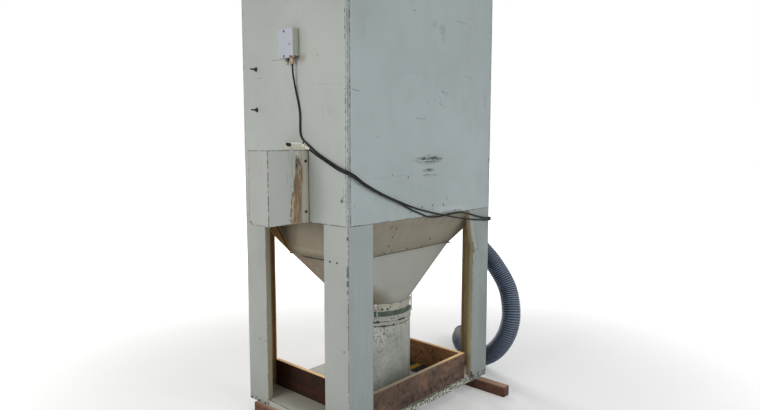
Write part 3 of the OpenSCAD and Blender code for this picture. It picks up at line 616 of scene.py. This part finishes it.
def right_post_marks(f):
    """The right front post: painted highlights and painted shade along its bent edge and lip, and chips at its foot.
    """
    bent = -HALF_D - 3
    # Pale strokes of painted highlight on the lit face of the bent edge, and a pale band of painted highlight up the
    # lip's edge below it
    f.strokes((166, 160, 140), "y", bent, (408, 1078, 426, 1010, 40, 0.65), (426, 1010, 462, 882, 34, 0.65))
    f.strokes((166, 162, 144), "y", bent, (446, 850, 448, 800, 26, 0.85))
    f.strokes((158, 162, 148), "y", -HALF_D, (472, 800, 472, 60, 74, 0.40))
    # Dark strokes of painted shade along the kink
    f.strokes((78, 78, 68), "y", bent, (446, 1020, 480, 872, 13, 0.70), (480, 872, 440, 858, 13, 0.80),
              (440, 858, 464, 820, 11, 0.55), (464, 820, 436, 786, 11, 0.55), (492, 868, 486, 790, 9, 0.25))
    post_marks(f, (176, 164, 128))
    f.dots((50, 40, 34), "y", -HALF_D, *((x, z, radius * 1.3, 0.9) for x, z, radius in (
        (434, 116, 8), (440, 104, 10), (436, 92, 12), (452, 88, 9), (464, 84, 7), (507, 86, 8), (519, 96, 5),
        (563, 86, 7), (590, 90, 8), (583, 84, 6))))
    # The far inside of the fold is painted lighter, as painted light; the back of the lip is painted olive-brown
    lit_far_inside = f.ramp(inside_fold(f, "x", "y"), 0.0014, 0.0024)
    f.paint((194, 180, 138), lit_far_inside, f.rise("x", 520, 560), 0.9)
    f.paint((146, 134, 100), f.near("x", 425, 55, 60), f.rise("y", -385, -379), 0.85)


front_paint = painted("front_wall_paint", WIDE_SHADED_TONE, chips=0.60, marks=front_marks, streaks=0.12,
                      edges=corners((LAP_X, WALL_Y), (-LAP_X, WALL_Y)) + ((("y", WALL_Y), ("z", WALL_Z)),))
narrow_paint = painted("narrow_wall_paint", NARROW_LIT_TONE, chips=0.60, marks=narrow_marks, streaks=0.09,
                       edges=corners((WALL_X, -LAP_Y)) + ((("x", WALL_X), ("z", WALL_Z)),))
plain_paint = painted("plain_wall_paint", WIDE_SHADED_TONE, chips=0.58,
                      edges=corners((LAP_X, -WALL_Y), (-LAP_X, -WALL_Y), (-WALL_X, LAP_Y), (-WALL_X, -LAP_Y)))
side_box_paint = painted("side_box_paint", NARROW_LIT_TONE, chips=0.50, marks=side_box_marks,
                         edges=corners((BOX_X, BOX_Y), (BOX_X, BOX_END)) + tuple(
                             (side, ("z", z)) for side in (("y", BOX_Y), ("x", BOX_X)) for z in (BOX_TOP, WALL_Z)))
post_edges = corners(*((sx * x, sy * y) for x, y in ((HALF_W, HALF_D), (INNER_X, HALF_D), (HALF_W, INNER_Y))
                       for sx in (-1, 1) for sy in (-1, 1)))
post_paint = painted("post_paint", POST_TONE, edges=post_edges, chips=0.60, marks=left_post_marks)
near_post_paint = painted("near_post_paint", NEAR_POST_TONE, edges=post_edges, chips=0.50, marks=near_post_marks)
right_post_paint = painted("right_post_paint", RIGHT_POST_SHADED_TONE, edges=post_edges, chips=0.54, marks=right_post_marks)
node_paint(front_paint, "front_wall")
node_paint(narrow_paint, "left_wall")
node_paint(plain_paint, "back_wall", "right_wall", "roof", "cabinet_floor")
node_paint(side_box_paint, "side_box")


def post_section():
    """Outline of a folded post from its own corner, along +x and +y, with round folds."""
    line = [Vector(p) for p in ((FLANGE, LIP), (FLANGE, 0), (0, 0), (0, FLANGE), (LIP, FLANGE))]
    outer, inner = [line[0]], [line[0] + Vector((-POST_T, 0))]
    for before, here, after in zip(line, line[1:], line[2:]):
        back = (before - here).normalized()
        ahead = (after - here).normalized()
        centre = here + POST_BEND * (back + ahead)
        for step in range(5):
            turn = math.radians(90 * step / 4)
            swing = -math.cos(turn) * ahead - math.sin(turn) * back
            outer.append(centre + POST_BEND * swing)
            inner.append(centre + (POST_BEND - POST_T) * swing)
    outer.append(line[-1])
    inner.append(line[-1] + Vector((0, -POST_T)))
    return outer + inner[::-1]


BENT_EDGE = ((720, 0), (819, 2), (850, 7), (873, 10), (887, 6), (930, -7), (974, -18), (1047, -34), (1108, -46))
POST_LEVELS = (300, 720, 819, 850, 873, 887, 930, 974, 1010, 1047, 1078, 1108, 1109, 1400)


def dent(x, z):
    """How the right front leg's inner edge is knocked out of line, in millimetres."""
    reach = max(0.0, 1 - abs(x - INNER_X) / 85)
    for (z0, dx0), (z1, dx1) in zip(BENT_EDGE, BENT_EDGE[1:]):
        if z0 <= z <= z1:
            shift = dx0 + (dx1 - dx0) * (z - z0) / (z1 - z0)
            return Vector((shift * reach, -0.4 * max(0.0, shift + 4) * reach, 0))
    return Vector()


def folded_post(name, sx, sy, material, dented=False):
    """A post as bent sheet, from the base up to the roof."""
    low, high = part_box(name)
    section = post_section()
    bm = bmesh.new()
    rings = []
    for z in (low.z * 1000, *POST_LEVELS, high.z * 1000):
        ring = []
        for p in section:
            x, y = sx * (HALF_W - p.x), sy * (HALF_D - p.y)
            shift = dent(x, z) if dented and p.y <= LIP and p.x > 60 else Vector()
            ring.append(bm.verts.new(at(x + shift.x, y + shift.y, z)))
        rings.append(ring)
    bridge(bm, rings, caps=False)
    count = len(section)
    for ring in (rings[0], rings[-1]):
        for j in range(count // 2 - 1):
            bm.faces.new((ring[j], ring[j + 1], ring[count - 2 - j], ring[count - 1 - j]))
    make_piece(name + "_folded", bm, material, smooth=True, sharp=35, node=name)


folded_post("post_front_left", -1, -1, near_post_paint)
folded_post("post_front_right", 1, -1, right_post_paint, dented=True)
folded_post("post_back_left", -1, 1, post_paint)
folded_post("post_back_right", 1, 1, post_paint)

SLOPE_OUT = Vector((0, -(WALL_Z - SEAM_Z), -(HALF_D - SEAM_Y))).normalized()


def on_slope(x, z, lift=0.0):
    """A point on the front slope of the hopper at height z, lifted off it by lift millimetres."""
    y = -SEAM_Y - (z - SEAM_Z) * (HALF_D - SEAM_Y) / (WALL_Z - SEAM_Z)
    return Vector((x, y, z)) + SLOPE_OUT * lift


def hopper_marks(f):
    """Rusty dust along the slope's laps and the seam."""
    f.paint((104, 90, 68), f.near("z", SEAM_Z, 3, 45), f.noisy(0.45, 0.7, 40.0, 4.0, 2.2), 0.35)
    f.paint((116, 98, 72), f.ramp("z", 1.00, 1.11), f.noisy(0.35, 0.68, 11.0, 5.0, 6.1, 0.65), 0.50)
    # Painted shade: the faces turned to the left are painted browner and darker
    side = f.facing_left()
    f.paint((122, 108, 84), side, 0.35)
    f.paint((132, 104, 66), side, f.noisy(0.45, 0.60, 9.0, 4.0, 3.7), 0.12)
    # A pale band on the left plate along the seam: a painted highlight on the lap's edge
    f.strokes((182, 176, 158), "x", WING_X, (196, 922, -230, 922, 30, 0.45))
    f.strokes((76, 56, 34), "x", WING_X, (380, 1086, 222, 900, 16, 0.8))
    # The joint of the lapped plate: a thin slanted line with a dark screw at each end
    for x0, z0, x1, z1, width, strength in ((-207, 1060, -173, 954, 4, 0.5), (-259, 1074, -262, 1068, 12, 0.8),
                                            (-60, 1101, -58, 1085, 8, 0.6), (300, 1085, 286, 1040, 7, 0.45),
                                            (270, 1085, 262, 1048, 6, 0.35)):
        f.stroke(on_slope(x0, z0), on_slope(x1, z1), width, strength, (66, 58, 46))


def funnel_marks(f):
    """Painted shade on the funnel's faces turned to the left, browner and blotchy; a brown stain at its lower left,
    and darker towards the bottom.
    """
    side = f.facing_left()
    f.paint((134, 118, 92), side, 0.55)
    f.paint((130, 104, 76), side, f.noisy(0.30, 0.62, 8.0, 5.0, 1.9, 0.65), 0.65)
    f.paint((124, 114, 84), f.patch((-165, -140, 650), (130, 130, 110), 0.2), 0.60)
    f.paint((110, 102, 84), f.fall("z", 0.60, 0.66), 0.25)


def back_plate_marks(f):
    """Ochre blots that are darkest under the cabinet's floor."""
    f.paint((190, 148, 84), f.noisy(0.35, 0.6, 12.0, 4.0), 0.6)
    f.paint((130, 92, 48), f.ramp("z", 1.03, 1.10), 0.45)
    f.strokes((76, 54, 30), "x", -444, (380, 1086, 226, 905, 14, 0.8))


hopper_paint = painted("hopper_paint", HOPPER_SHADED_TONE, dirt=(104, 92, 70), marks=hopper_marks, streaks=0.22, wear=1.4)
funnel_paint = painted("funnel_paint", FUNNEL_TONE, dirt=(112, 104, 84), marks=funnel_marks, streaks=0.16, wear=1.2,
                       edges=((("z", SEAM_Z), ("y", -SEAM_Y)),), chips=0.58)
back_plate_paint = painted("back_plate_paint", BACK_PLATE_TONE, dirt=(140, 106, 58), marks=back_plate_marks,
                           streaks=0.3)
node_paint(hopper_paint, "hopper_front_plate", "hopper_left_plate", "hopper_right_plate")
node_paint(back_plate_paint, "hopper_back_plate")
node_paint(funnel_paint, "hopper_seam_flange", "hopper_transition")


def drum_finish():
    """Stained paint: upright runs and specks on the drum, dark lines under its beads and collar that are rust and
    painted shadow, a pale collar with rivets.
    """
    f = Finish("drum_paint")
    f.colour = f.mix(f.noisy(0.35, 0.7, 7.0), srgb(158, 161, 154), srgb(184, 186, 178))
    f.paint((166, 160, 142), f.rise("z", 560, 564), 0.55)
    f.paint((104, 106, 94), f.noisy(0.46, 0.72, 34.0, 4.0, 4.0, 0.6, 0.22), 0.30)
    drum = f.drop("z", 490, 496)
    left = f.math("SUBTRACT", 1.0, f.ramp("x", -0.14, 0.10))
    dense = f.either(f.both(drum, f.rise("z", 200, 460), left), 0.35)
    freckles = f.noisy(0.51, 0.59, 105.0, 5.0, 2.0, 0.75, 0.55)
    f.paint((56, 58, 50), freckles, f.either(f.noisy(0.36, 0.60, 8.0, 4.0, 6.0), left), dense, drum, 0.85)
    # Dark lines under the beads and the collar: rust, and painted shadow
    bead_rust_and_shadow = f.either(*(f.near("z", mm, 0.8, width) for mm, width in (
        (508.5, 4.2), (483.5, 5.0), (564.5, 3.6), (609.5, 2.4), (539.5, 2.2))))
    rim = f.both(bead_rust_and_shadow, f.math("ADD", f.both(f.noisy(0.38, 0.54, 24.0, 3.0, 3.0), 0.60), 0.36))
    specks = f.both(f.noisy(0.66, 0.70, 130.0, 2.0, 9.0), f.between("z", 500, 612, 4), 0.9)
    f.paint((34, 31, 26), f.either(rim, specks))
    f.paint((108, 108, 96), f.drop("z", 100, 220), 0.15)
    f.paint((108, 112, 96), f.between("z", 486, 547, 2), 0.22)
    for x, y, z, radius in ((-116, -172, 578, 6), (-89, -187, 578, 6), (-74, -193, 588, 4.5), (-9, -207, 574, 4),
                            (-136, -156, 580, 4), (-145, -148, 579, 4), (-72, -203, 524, 4), (-58, -207, 524, 4),
                            (-30, -212, 527, 4), (-57, -204, 485, 6), (40, -209, 470, 5)):
        f.dots((28, 30, 26), "y", y, (x, z, radius * 1.6, 1.0))
    for x0, y0, x1, y1, z, width in ((-155, -147, -138, -164, 509, 10), (-24, -213, 22, -213, 509, 8),
                                     (-120, -175, -101, -186, 483, 7), (-61, -198, -70, -195, 604, 5),
                                     (-8, -207, 8, -207, 603, 5)):
        f.stroke((x0, y0, z), (x1, y1, z), width * 1.7, 1.0, (22, 20, 17))
    height = f.math("ADD", f.both(f.noise(260.0, 2.0), 0.3), f.both(f.noise(5.0, 2.0), 2.0))
    return f.finish(height=height, strength=0.35, distance=0.0012)


def rubber(name, base, dust, amount):
    return plain(name, base, dust, (0.4, 0.75, 35.0, 4.0), (160.0, 3.0, 0.3), 0.75, amount)


def rust_marks(f):
    f.paint((104, 74, 50), f.noisy(0.60, 0.70, 85.0, 4.0, 3.0), 0.6)


def steel(name, bright, dull, roughness):
    return plain(name, dull, bright, (0.35, 0.7, 60.0, 4.0), (220.0, 3.0, 0.2), roughness, marks=rust_marks,
                 metallic=0.9)


def plastic(name, base, dirt, marks=None):
    return plain(name, base, dirt, (0.4, 0.75, 26.0, 4.0), (320.0, 2.0, 0.12), 0.5, 0.18, marks)


def gland_marks(f):
    """Painted shade on the spare gland's underside and on its hexagon."""
    f.paint((72, 74, 62), f.between("z", 1867.5, 1872.5, 1.5), f.fall("x", 0.0, 0.1), 0.7)
    f.paint((44, 48, 40), f.rise("z", 1888.5, 1890), f.fall("x", 0.0, 0.1), 0.9)


def cleat_marks(f):
    f.paint((138, 122, 94), f.noisy(0.50, 0.62, 60.0, 4.0, 1.0), 0.30)
    f.paint((216, 220, 212), f.rise("z", 1490.5, 1496), 0.8)
    f.paint((82, 76, 66), f.drop("z", 1461.2, 1465), 0.7)


def base_marks(f):
    """Paint worn off the base's upstanding edges down to dark metal."""
    rim = f.near("y", -BASE_Y, 4, 14)
    f.paint((222, 222, 204), rim, f.noisy(0.45, 0.60, 60.0, 4.0, 8.0, 0.7), 0.75)
    f.paint((40, 38, 34), f.noisy(0.49, 0.52, 70.0, 5.0, 1.0, 0.7), f.either(rim, f.near("y", BASE_Y, 4, 14)), 0.9)
    f.paint((140, 134, 114), f.facing_up(), f.noisy(0.35, 0.7, 6.0, 4.0, 5.0), 0.20)


def mat_finish():
    """Black rubber with yellow bars across it."""
    f = Finish("mat_rubber", roughness=0.8)
    pitch, bar, soft = 0.25, 0.042, 0.008
    along = f.math("ADD", f.math("DIVIDE", f.math("SUBTRACT", "y", level("y", -60)), pitch), 0.5)
    wrapped = f.math("ABSOLUTE", f.math("SUBTRACT", f.math("FRACT", along), 0.5))
    barred = f.fall(wrapped, bar / pitch / 2 - soft, bar / pitch / 2 + soft)
    f.colour = f.mix(barred, srgb(24, 23, 23), srgb(178, 142, 34))
    f.paint((104, 92, 72), f.noisy(0.45, 0.75, 30.0, 4.0), 0.22)
    return f.finish(height=f.noise(140.0, 3.0), strength=0.3)


node_paint(drum_finish(), "drum", "clamp_band", "drum_lid", "outlet_collar")
node_paint(rubber("seal_rubber", (60, 76, 64), (120, 130, 110), 0.5), "outlet_sleeve")
node_paint(steel("latch_steel", (196, 196, 190), (140, 140, 134), 0.32), "toggle_latches")
node_paint(steel("spigot_zinc", (168, 172, 174), (126, 130, 132), 0.42), "inlet_elbow")
node_paint(rubber("cuff_rubber", (34, 36, 38), (92, 90, 84), 0.4), "hose_cuffs", "cleat_plug")
node_paint(plain("gland_brass", (150, 122, 104), (194, 164, 142), (0.35, 0.7, 90.0, 4.0), (300.0, 2.0, 0.15), 0.55,
                 metallic=0.3), "brass_gland")
node_paint(plastic("gland_plastic", (158, 160, 148), (120, 120, 104), gland_marks), "plastic_glands")
node_paint(painted("cleat_paint", (186, 184, 170), marks=cleat_marks, chips=0.52), "side_box_cleat")
base_sides = (("y", -BASE_Y), ("y", BASE_Y), ("x", -BASE_X), ("x", BASE_X))
node_paint(painted("base_paint", BASE_TONE, marks=base_marks, wear=1.6, chips=0.46,
                   edges=tuple((side, ("z", BASE_TOP)) for side in base_sides)),
           "base_left_plate", "base_right_plate", "base_rails", "drum_floor")
node_paint(mat_finish(), "floor_mat")


def wood(name, axis, dark, middle, light, top, seed, damp=()):
    """Sawn timber with its grain along one axis; the faces turned up are painted lighter, as painted sunlight, and
    damp spots are darker.
    """
    f = Finish(name, roughness=0.78, specular=0.25)
    stretch = (0.06, 1, 1) if axis == "x" else (1, 0.06, 1)
    grain = f.noise(85.0, 5.0, seed, 0.6, stretch)
    figure = f.noise(16.0, 3.0, seed + 2, 0.5, stretch)
    f.colour = f.mix(f.ramp(grain, 0.1, 0.9, 0.25, 1.0), srgb(*dark), srgb(*middle))
    f.paint(light, f.ramp(figure, 0.45, 0.75), 0.30)
    f.paint(dark, f.noisy(0.42, 0.62, 6.0, 4.0, seed + 5, 0.6), 0.65)
    f.lay(shade(middle, 1.45, 1.05, 0.85), f.noisy(0.50, 0.66, 11.0, 4.0, seed + 11, 0.65), 0.45)
    f.lay(shade(dark, 0.5), f.noisy(0.52, 0.62, 30.0, 5.0, seed + 9, 0.75), 0.70)
    for x, z, length, height in damp:
        soaked = f.noisy(0.40, 0.58, 38.0, 5.0, seed + 3, 0.7)
        f.paint((34, 30, 30), f.patch((x, BOARD_Y, z), (length, 1000, height), 0.25), soaked, 0.8)
    # Painted sunlight on the faces turned up
    lit_tops = f.mix(f.ramp(grain, 0.35, 0.65), srgb(*top), shade(top, 1.12))
    # Along the front board the painted sunlight gives way to grey towards the left end
    if axis == "x":
        grey = f.ramp(f.math("ADD", "x", f.both(figure, 0.2)), 0.12, 0.42, 0.9, 0.0)
        lit_tops = f.mix(grey, lit_tops, srgb(168, 158, 142))
    f.lay(lit_tops, f.facing_up(), 0.92)
    return f.finish(height=grain, strength=0.35, distance=0.0015)


def timber(name, node, material, bevel=0.0016, cells=0.03, rough=0.0006):
    """A sawn board in place of a CAD block: worn edges and slightly uneven faces."""
    bm, low, high = box_mesh(node)
    size = high - low
    longest = max(range(3), key=lambda k: size[k])
    cuts = int(size[longest] / cells)
    for k in range(1, cuts):
        spot = low.copy()
        spot[longest] += size[longest] * k / cuts
        direction = Vector((0, 0, 0))
        direction[longest] = 1
        bmesh.ops.bisect_plane(bm, geom=bm.verts[:] + bm.edges[:] + bm.faces[:], plane_co=spot, plane_no=direction)
    edges = [e for e in bm.edges if len(e.link_faces) == 2 and e.calc_face_angle() > 1.0]
    bmesh.ops.bevel(bm, geom=edges, offset=bevel, segments=2, affect="EDGES")
    middle = (low + high) / 2
    for v in bm.verts:
        push = noise.noise(v.co * 9.0) * rough + noise.noise(v.co * 47.0) * rough * 0.4
        v.co += (middle - v.co).normalized() * abs(push)
    make_piece(name, bm, material, node=node)


front_wood = wood("board_wood_x", "x", (72, 58, 49), (118, 96, 82), (142, 118, 100), BOARD_SUNLIT_TOP, 1.0,
                  damp=((-120, 128, 160, 32), (45, 124, 110, 24), (180, 142, 90, 26)))
# The left board is painted in darker tones than the others, as painted shade
left_shaded_wood = wood("left_board_shaded_wood", "y", (27, 14, 7), (54, 28, 13), (80, 44, 22), BOARD_SUNLIT_TOP, 7.0)
right_wood = wood("right_board_wood", "y", (108, 78, 54), (184, 134, 94), (206, 156, 112), BOARD_SUNLIT_TOP, 5.0)
bearer_wood = wood("bearer_wood", "y", (70, 48, 38), (112, 80, 64), (140, 104, 84), (172, 138, 118), 4.0)
timber("front_board", "board_front", front_wood)
timber("left_board", "board_left", left_shaded_wood)
timber("right_board", "board_right", right_wood)
timber("left_timber", "bearer_left", bearer_wood, bevel=0.003)
timber("right_timber", "bearer_right", bearer_wood, bevel=0.003)


def housing_marks(f):
    """Rusty dirt that fades upwards from the gland."""
    ragged = f.math("ADD", "z", f.both(f.noise(70.0, 4.0), 0.012))
    right = f.drop("y", -47, -42)
    f.paint((84, 56, 50), f.fall(ragged, 1.918, 1.922), right, 0.9)
    f.paint((206, 190, 180), f.near("z", 1918, 1, 3), right, 0.5)


def cover_marks(f):
    """Grey smudge at the cover's right edge, and the cover's dull side."""
    housing_marks(f)
    f.paint((112, 114, 128), f.patch((-650, -48, 1968), (100, 16, 9), 0.1), 0.8)
    f.paint((182, 186, 172), f.drop("y", -69.5, -66), 0.85)


def moulded(name, node, material, radius):
    """A plastic moulding with round edges, in place of a CAD block."""
    bm, _, _ = box_mesh(node)
    bmesh.ops.bevel(bm, geom=bm.edges[:], offset=radius, segments=4, affect="EDGES", profile=0.5)
    make_piece(name, bm, material, smooth=True, sharp=40, node=node)


cover_plastic = plastic("switch_plastic", (166, 170, 180), (150, 152, 156), cover_marks)
housing_plastic = plastic("switch_base_plastic", (178, 182, 168), (140, 142, 126), housing_marks)
moulded("switch_housing", "switch_box", housing_plastic, 0.0035)
moulded("switch_cover", "switch_box_lid", cover_plastic, 0.0040)

screw_rust = steel("screw_rust", (82, 70, 60), (48, 42, 38), 0.6)
screw_dark = rubber("screw_dark", (30, 28, 26), (74, 66, 56), 0.4)


def add_head(bm, centre, out, radius, height, sides=16, dome=True):
    """A screw head: a low dome, or a flat prism, standing out along a direction."""
    out = Vector(out).normalized()
    turn = Vector((0, 0, 1)).rotation_difference(out)
    side, other = (turn @ Vector(axis) * radius for axis in ((1, 0, 0), (0, 1, 0)))
    levels = ((1.0, 0.0), (0.94, 0.45), (0.70, 0.82), (0.30, 1.0)) if dome else ((1.0, 0.0), (1.0, 0.85), (0.86, 1.0))
    bridge(bm, [ring_at(bm, centre + out * height * lift, side * share, other * share, sides)
                for share, lift in levels])


def heads(name, places, out, radius, height, material, sides=16, dome=True):
    """Screw heads at many places of one face, as one piece."""
    bm = bmesh.new()
    for place in places:
        add_head(bm, at(*place), out, radius, height, sides, dome)
    make_piece(name, bm, material)


for name, x, out in (("narrow_leg_screws", -HALF_W, LEFT), ("far_leg_screws", HALF_W, RIGHT)):
    heads(name, [(x, s * y, 68) for s in (-1, 1) for y in (261, 316, 379)], out, 0.0055, 0.003, screw_rust)
for name, y, out in (("wide_leg_screws", -HALF_D, FRONT), ("rear_leg_screws", HALF_D, BACK)):
    heads(name, [(s * x, y, 70) for s in (-1, 1) for x in (452, 519, 572)], out, 0.0055, 0.003, screw_rust)
heads("near_leg_screws", [(-HALF_W, y, 933) for y in (-275, -324)], LEFT, 0.0050, 0.0035, screw_dark)
heads("side_box_screws", [(-621, BOX_Y, z) for z in (1409, 1164)], FRONT, 0.0075, 0.005, screw_rust,
      sides=6, dome=False)
heads("switch_screws", [(-642, -7, 2032), (-642, -5, 1914)], LEFT, 0.0060, 0.0012, screw_dark)


def slope_plate(name, outline, thick):
    """A thin plate lying on the hopper's front slope; the outline's points are (x, z)."""
    bm = bmesh.new()
    bridge(bm, [[bm.verts.new(at(*on_slope(x, z, lift))) for x, z in outline] for lift in (0.1, thick)])
    make_piece(name, bm, hopper_paint)


STRIP_T, PLATE_T = 2.2, 1.4
slope_plate("slope_lap_strip", [(-176, 898), (196, 898), (214, 926), (-186, 926)], STRIP_T)
slope_plate("slope_lap_plate", [(-434, 899), (-182, 926), (-163, 928), (-222, 1074), (-424, 1104), (-434, 1060)],
            PLATE_T)
lap_screws = [on_slope(x, z, 2.0) for x, z in ((-163, 911), (-107, 913), (23, 912), (156, 912), (191, 950))]
lap_screws += [on_slope(x, z, PLATE_T) for x, z in ((-212, 1061), (-170, 953), (-192, 1008))]
heads("slope_screws", lap_screws, SLOPE_OUT, 0.0045, 0.003, screw_rust)
foot_screws = [(x, WALL_Y, z) for x, z in ((-153, 1142), (-59, 1162), (34, 1165), (131, 1160), (240, 1121))]
heads("wall_foot_screws", foot_screws, FRONT, 0.0040, 0.0022, screw_dark)
heads("wall_edge_rivets", [(x, WALL_Y, 1114) for x in (-387, -322, -248, -171, -84, 48, 136)], FRONT, 0.0034,
      0.0014, front_paint)

# Studs on the narrow wall, with washers and nuts
stud_mesh = bmesh.new()
for z in (1878, 1669):
    for x, radius, height, sides in ((WALL_X, 0.0042, 0.036, 12), (WALL_X, 0.0120, 0.0020, 20),
                                     (WALL_X - 2, 0.0088, 0.0080, 6)):
        add_head(stud_mesh, at(x, 277, z), LEFT, radius, height, sides, dome=False)
make_piece("wall_studs", stud_mesh, screw_dark)


def seam_finish():
    """Dirty filler in the joints between sheets: dark here, painted over there."""
    f = Finish("seam_filler", roughness=0.8)
    broken = f.ramp(f.noise(14.0, 5.0, 1.0, 0.75), 0.36, 0.52, 0.45, 1.0)
    f.colour = f.mix(broken, srgb(112, 116, 110), srgb(54, 58, 52))
    return f.finish(height=f.noise(140.0, 3.0), strength=0.4)


def seam_bead(bm, start, end, radius, cells=0.02):
    """A thin uneven bead of filler between two points."""
    a, b = at(*start), at(*end)
    length = (b - a).length
    heading = (b - a) / length
    side = heading.orthogonal().normalized()
    other = heading.cross(side)
    count = max(1, int(length / cells))
    rings = []
    for k in range(count + 1):
        point = a + heading * length * k / count
        r = radius * (0.75 + 0.5 * noise.noise(point * 40.0))
        rings.append(ring_at(bm, point, r * side, r * other, 6))
    bridge(bm, rings, caps=False)


seams = bmesh.new()
ROOF_EDGE = TOP_Z - 40
for x, y in ((LAP_X, -HALF_D - 1), (LAP_X, HALF_D + 1), (-LAP_X, HALF_D + 1),
             (HALF_W + 1, -LAP_Y), (HALF_W + 1, LAP_Y), (-HALF_W - 1, LAP_Y)):
    seam_bead(seams, (x, y, WALL_Z + 2), (x, y, ROOF_EDGE), 0.0016)
seam_bead(seams, (WALL_X, BOX_END + 1, WALL_Z + 2), (WALL_X, BOX_END + 1, BOX_TOP - 1), 0.0016)
seam_bead(seams, (WALL_X, BOX_Y, BOX_TOP), (WALL_X, BOX_END, BOX_TOP), 0.0016)
for s in (-1, 1):
    seam_bead(seams, (-586, s * (HALF_D + 1), WALL_Z), (586, s * (HALF_D + 1), WALL_Z), 0.0018)
    seam_bead(seams, (s * (HALF_W + 1), -386, WALL_Z), (s * (HALF_W + 1), 386, WALL_Z), 0.0018)
make_piece("wall_seams", seams, seam_finish(), smooth=True)
# Dark beads: under the hopper's seam lap for dust and painted shade, then along the hopper's back corners and beside
# the side box
gap_mesh = bmesh.new()
for s in (-1, 1):
    seam_bead(gap_mesh, (s * 441, -60, SEAM_Z - 7), (s * 441, 120, SEAM_Z - 7), 0.0038)
    seam_bead(gap_mesh, (s * 442, 384, 1090), (s * 442, 222, 900), 0.0026)
seam_bead(gap_mesh, (WALL_X, BOX_Y - 2, WALL_Z + 2), (WALL_X, BOX_Y - 2, BOX_TOP - 1), 0.0026)
make_piece("dark_gaps", gap_mesh, screw_dark, smooth=True)


def tape_marks(f):
    f.dots((96, 70, 50), "x", TAPE_X, (-121, 1479, 4.5, 0.8))
    f.strokes((120, 112, 92), "x", TAPE_X, (-125, 1468, -148, 1459, 5, 0.5))


# Pale tape that binds both leads where they leave the cleat, and the dark grommet behind it
tape_mesh = bmesh.new()
tape_rings = []
for k in range(11):
    t = k / 10
    swell = 9.5 - 2.5 * t + 0.5 * math.sin(k * 2.3)
    across = Vector((0, 0.374, 0.927)) * swell / 1000
    tape_rings.append(ring_at(tape_mesh, at(-611, -100 - 52 * t, 1487 - 21 * t), Vector(LEFT) * 0.0065, across, 20))
bridge(tape_mesh, tape_rings)
tape_finish = plastic("sleeve_tape", (222, 217, 203), (176, 166, 144), tape_marks)
make_piece("lead_tape", tape_mesh, tape_finish, smooth=True, sharp=50, node="lead_sleeve")
grommet_mesh = bmesh.new()
add_head(grommet_mesh, at(-602, -97, 1494), LEFT, 0.0072, 0.010)
make_piece("lead_grommet", grommet_mesh, screw_dark, smooth=True)

# Tail of a tie wire that sticks out under the switch box
tie_path = [at(-628, 30, 1900), at(-632, 45, 1901), at(-640, 62, 1902), at(-650, 74, 1900)]
tube("tie_wire", tie_path, [0.0009] * len(tie_path), 6, screw_dark)

# Floor, lamps and world
floor_mesh = bmesh.new()
bmesh.ops.create_grid(floor_mesh, x_segments=1, y_segments=1, size=40.0)
floor_finish = Finish("floor", roughness=0.9, specular=0.0)
reach = floor_finish.vector("LENGTH", floor_finish.place, output=1)
glow = floor_finish.both(floor_finish.seen_directly(), floor_finish.ramp(reach, 1.2, 5.0, 0.16, 1.0))
floor_finish.sockets["Emission Color"].default_value = (1, 1, 1, 1)
floor_finish.feed(floor_finish.sockets["Emission Strength"], glow)
floor_finish.colour = (0.82, 0.82, 0.82, 1.0)
floor = linked("floor", floor_mesh, floor_finish.finish())

WORLD_LIGHT = 0.385
world = bpy.data.worlds.new("world")
bpy.context.scene.world = world
world.use_nodes = True
backdrop = Nodes(world.node_tree)
background = world.node_tree.nodes["Background"]
background.inputs["Color"].default_value = (1, 1, 1, 1)
shown = backdrop.both(backdrop.seen_directly(), 1.0 - WORLD_LIGHT)
backdrop.feed(background.inputs["Strength"], backdrop.math("ADD", shown, WORLD_LIGHT))


def lamp(name, location, target, size, power, colour):
    data = bpy.data.lights.new(name, "AREA")
    data.shape = "SQUARE"
    data.size = size
    data.energy = power
    data.color = colour
    item = bpy.data.objects.new(name, data)
    item.location = location
    item.rotation_euler = (Vector(target) - Vector(location)).to_track_quat("-Z", "Y").to_euler()
    bpy.context.scene.collection.objects.link(item)


lamp("left_lamp", (-5.2, 0.8, 2.7), (-0.4, 0.0, 1.1), 3.0, 128, (1.0, 0.985, 0.955))
lamp("front_lamp", (0.5, -5.8, 2.8), (0.0, 0.0, 1.1), 3.5, 137, (0.955, 0.985, 1.0))
lamp("rear_lamp", (3.5, 4.5, 4.2), (0.0, 0.0, 1.0), 3.0, 170, (1.0, 0.99, 0.97))
bpy.context.scene.view_settings.view_transform = "Standard"
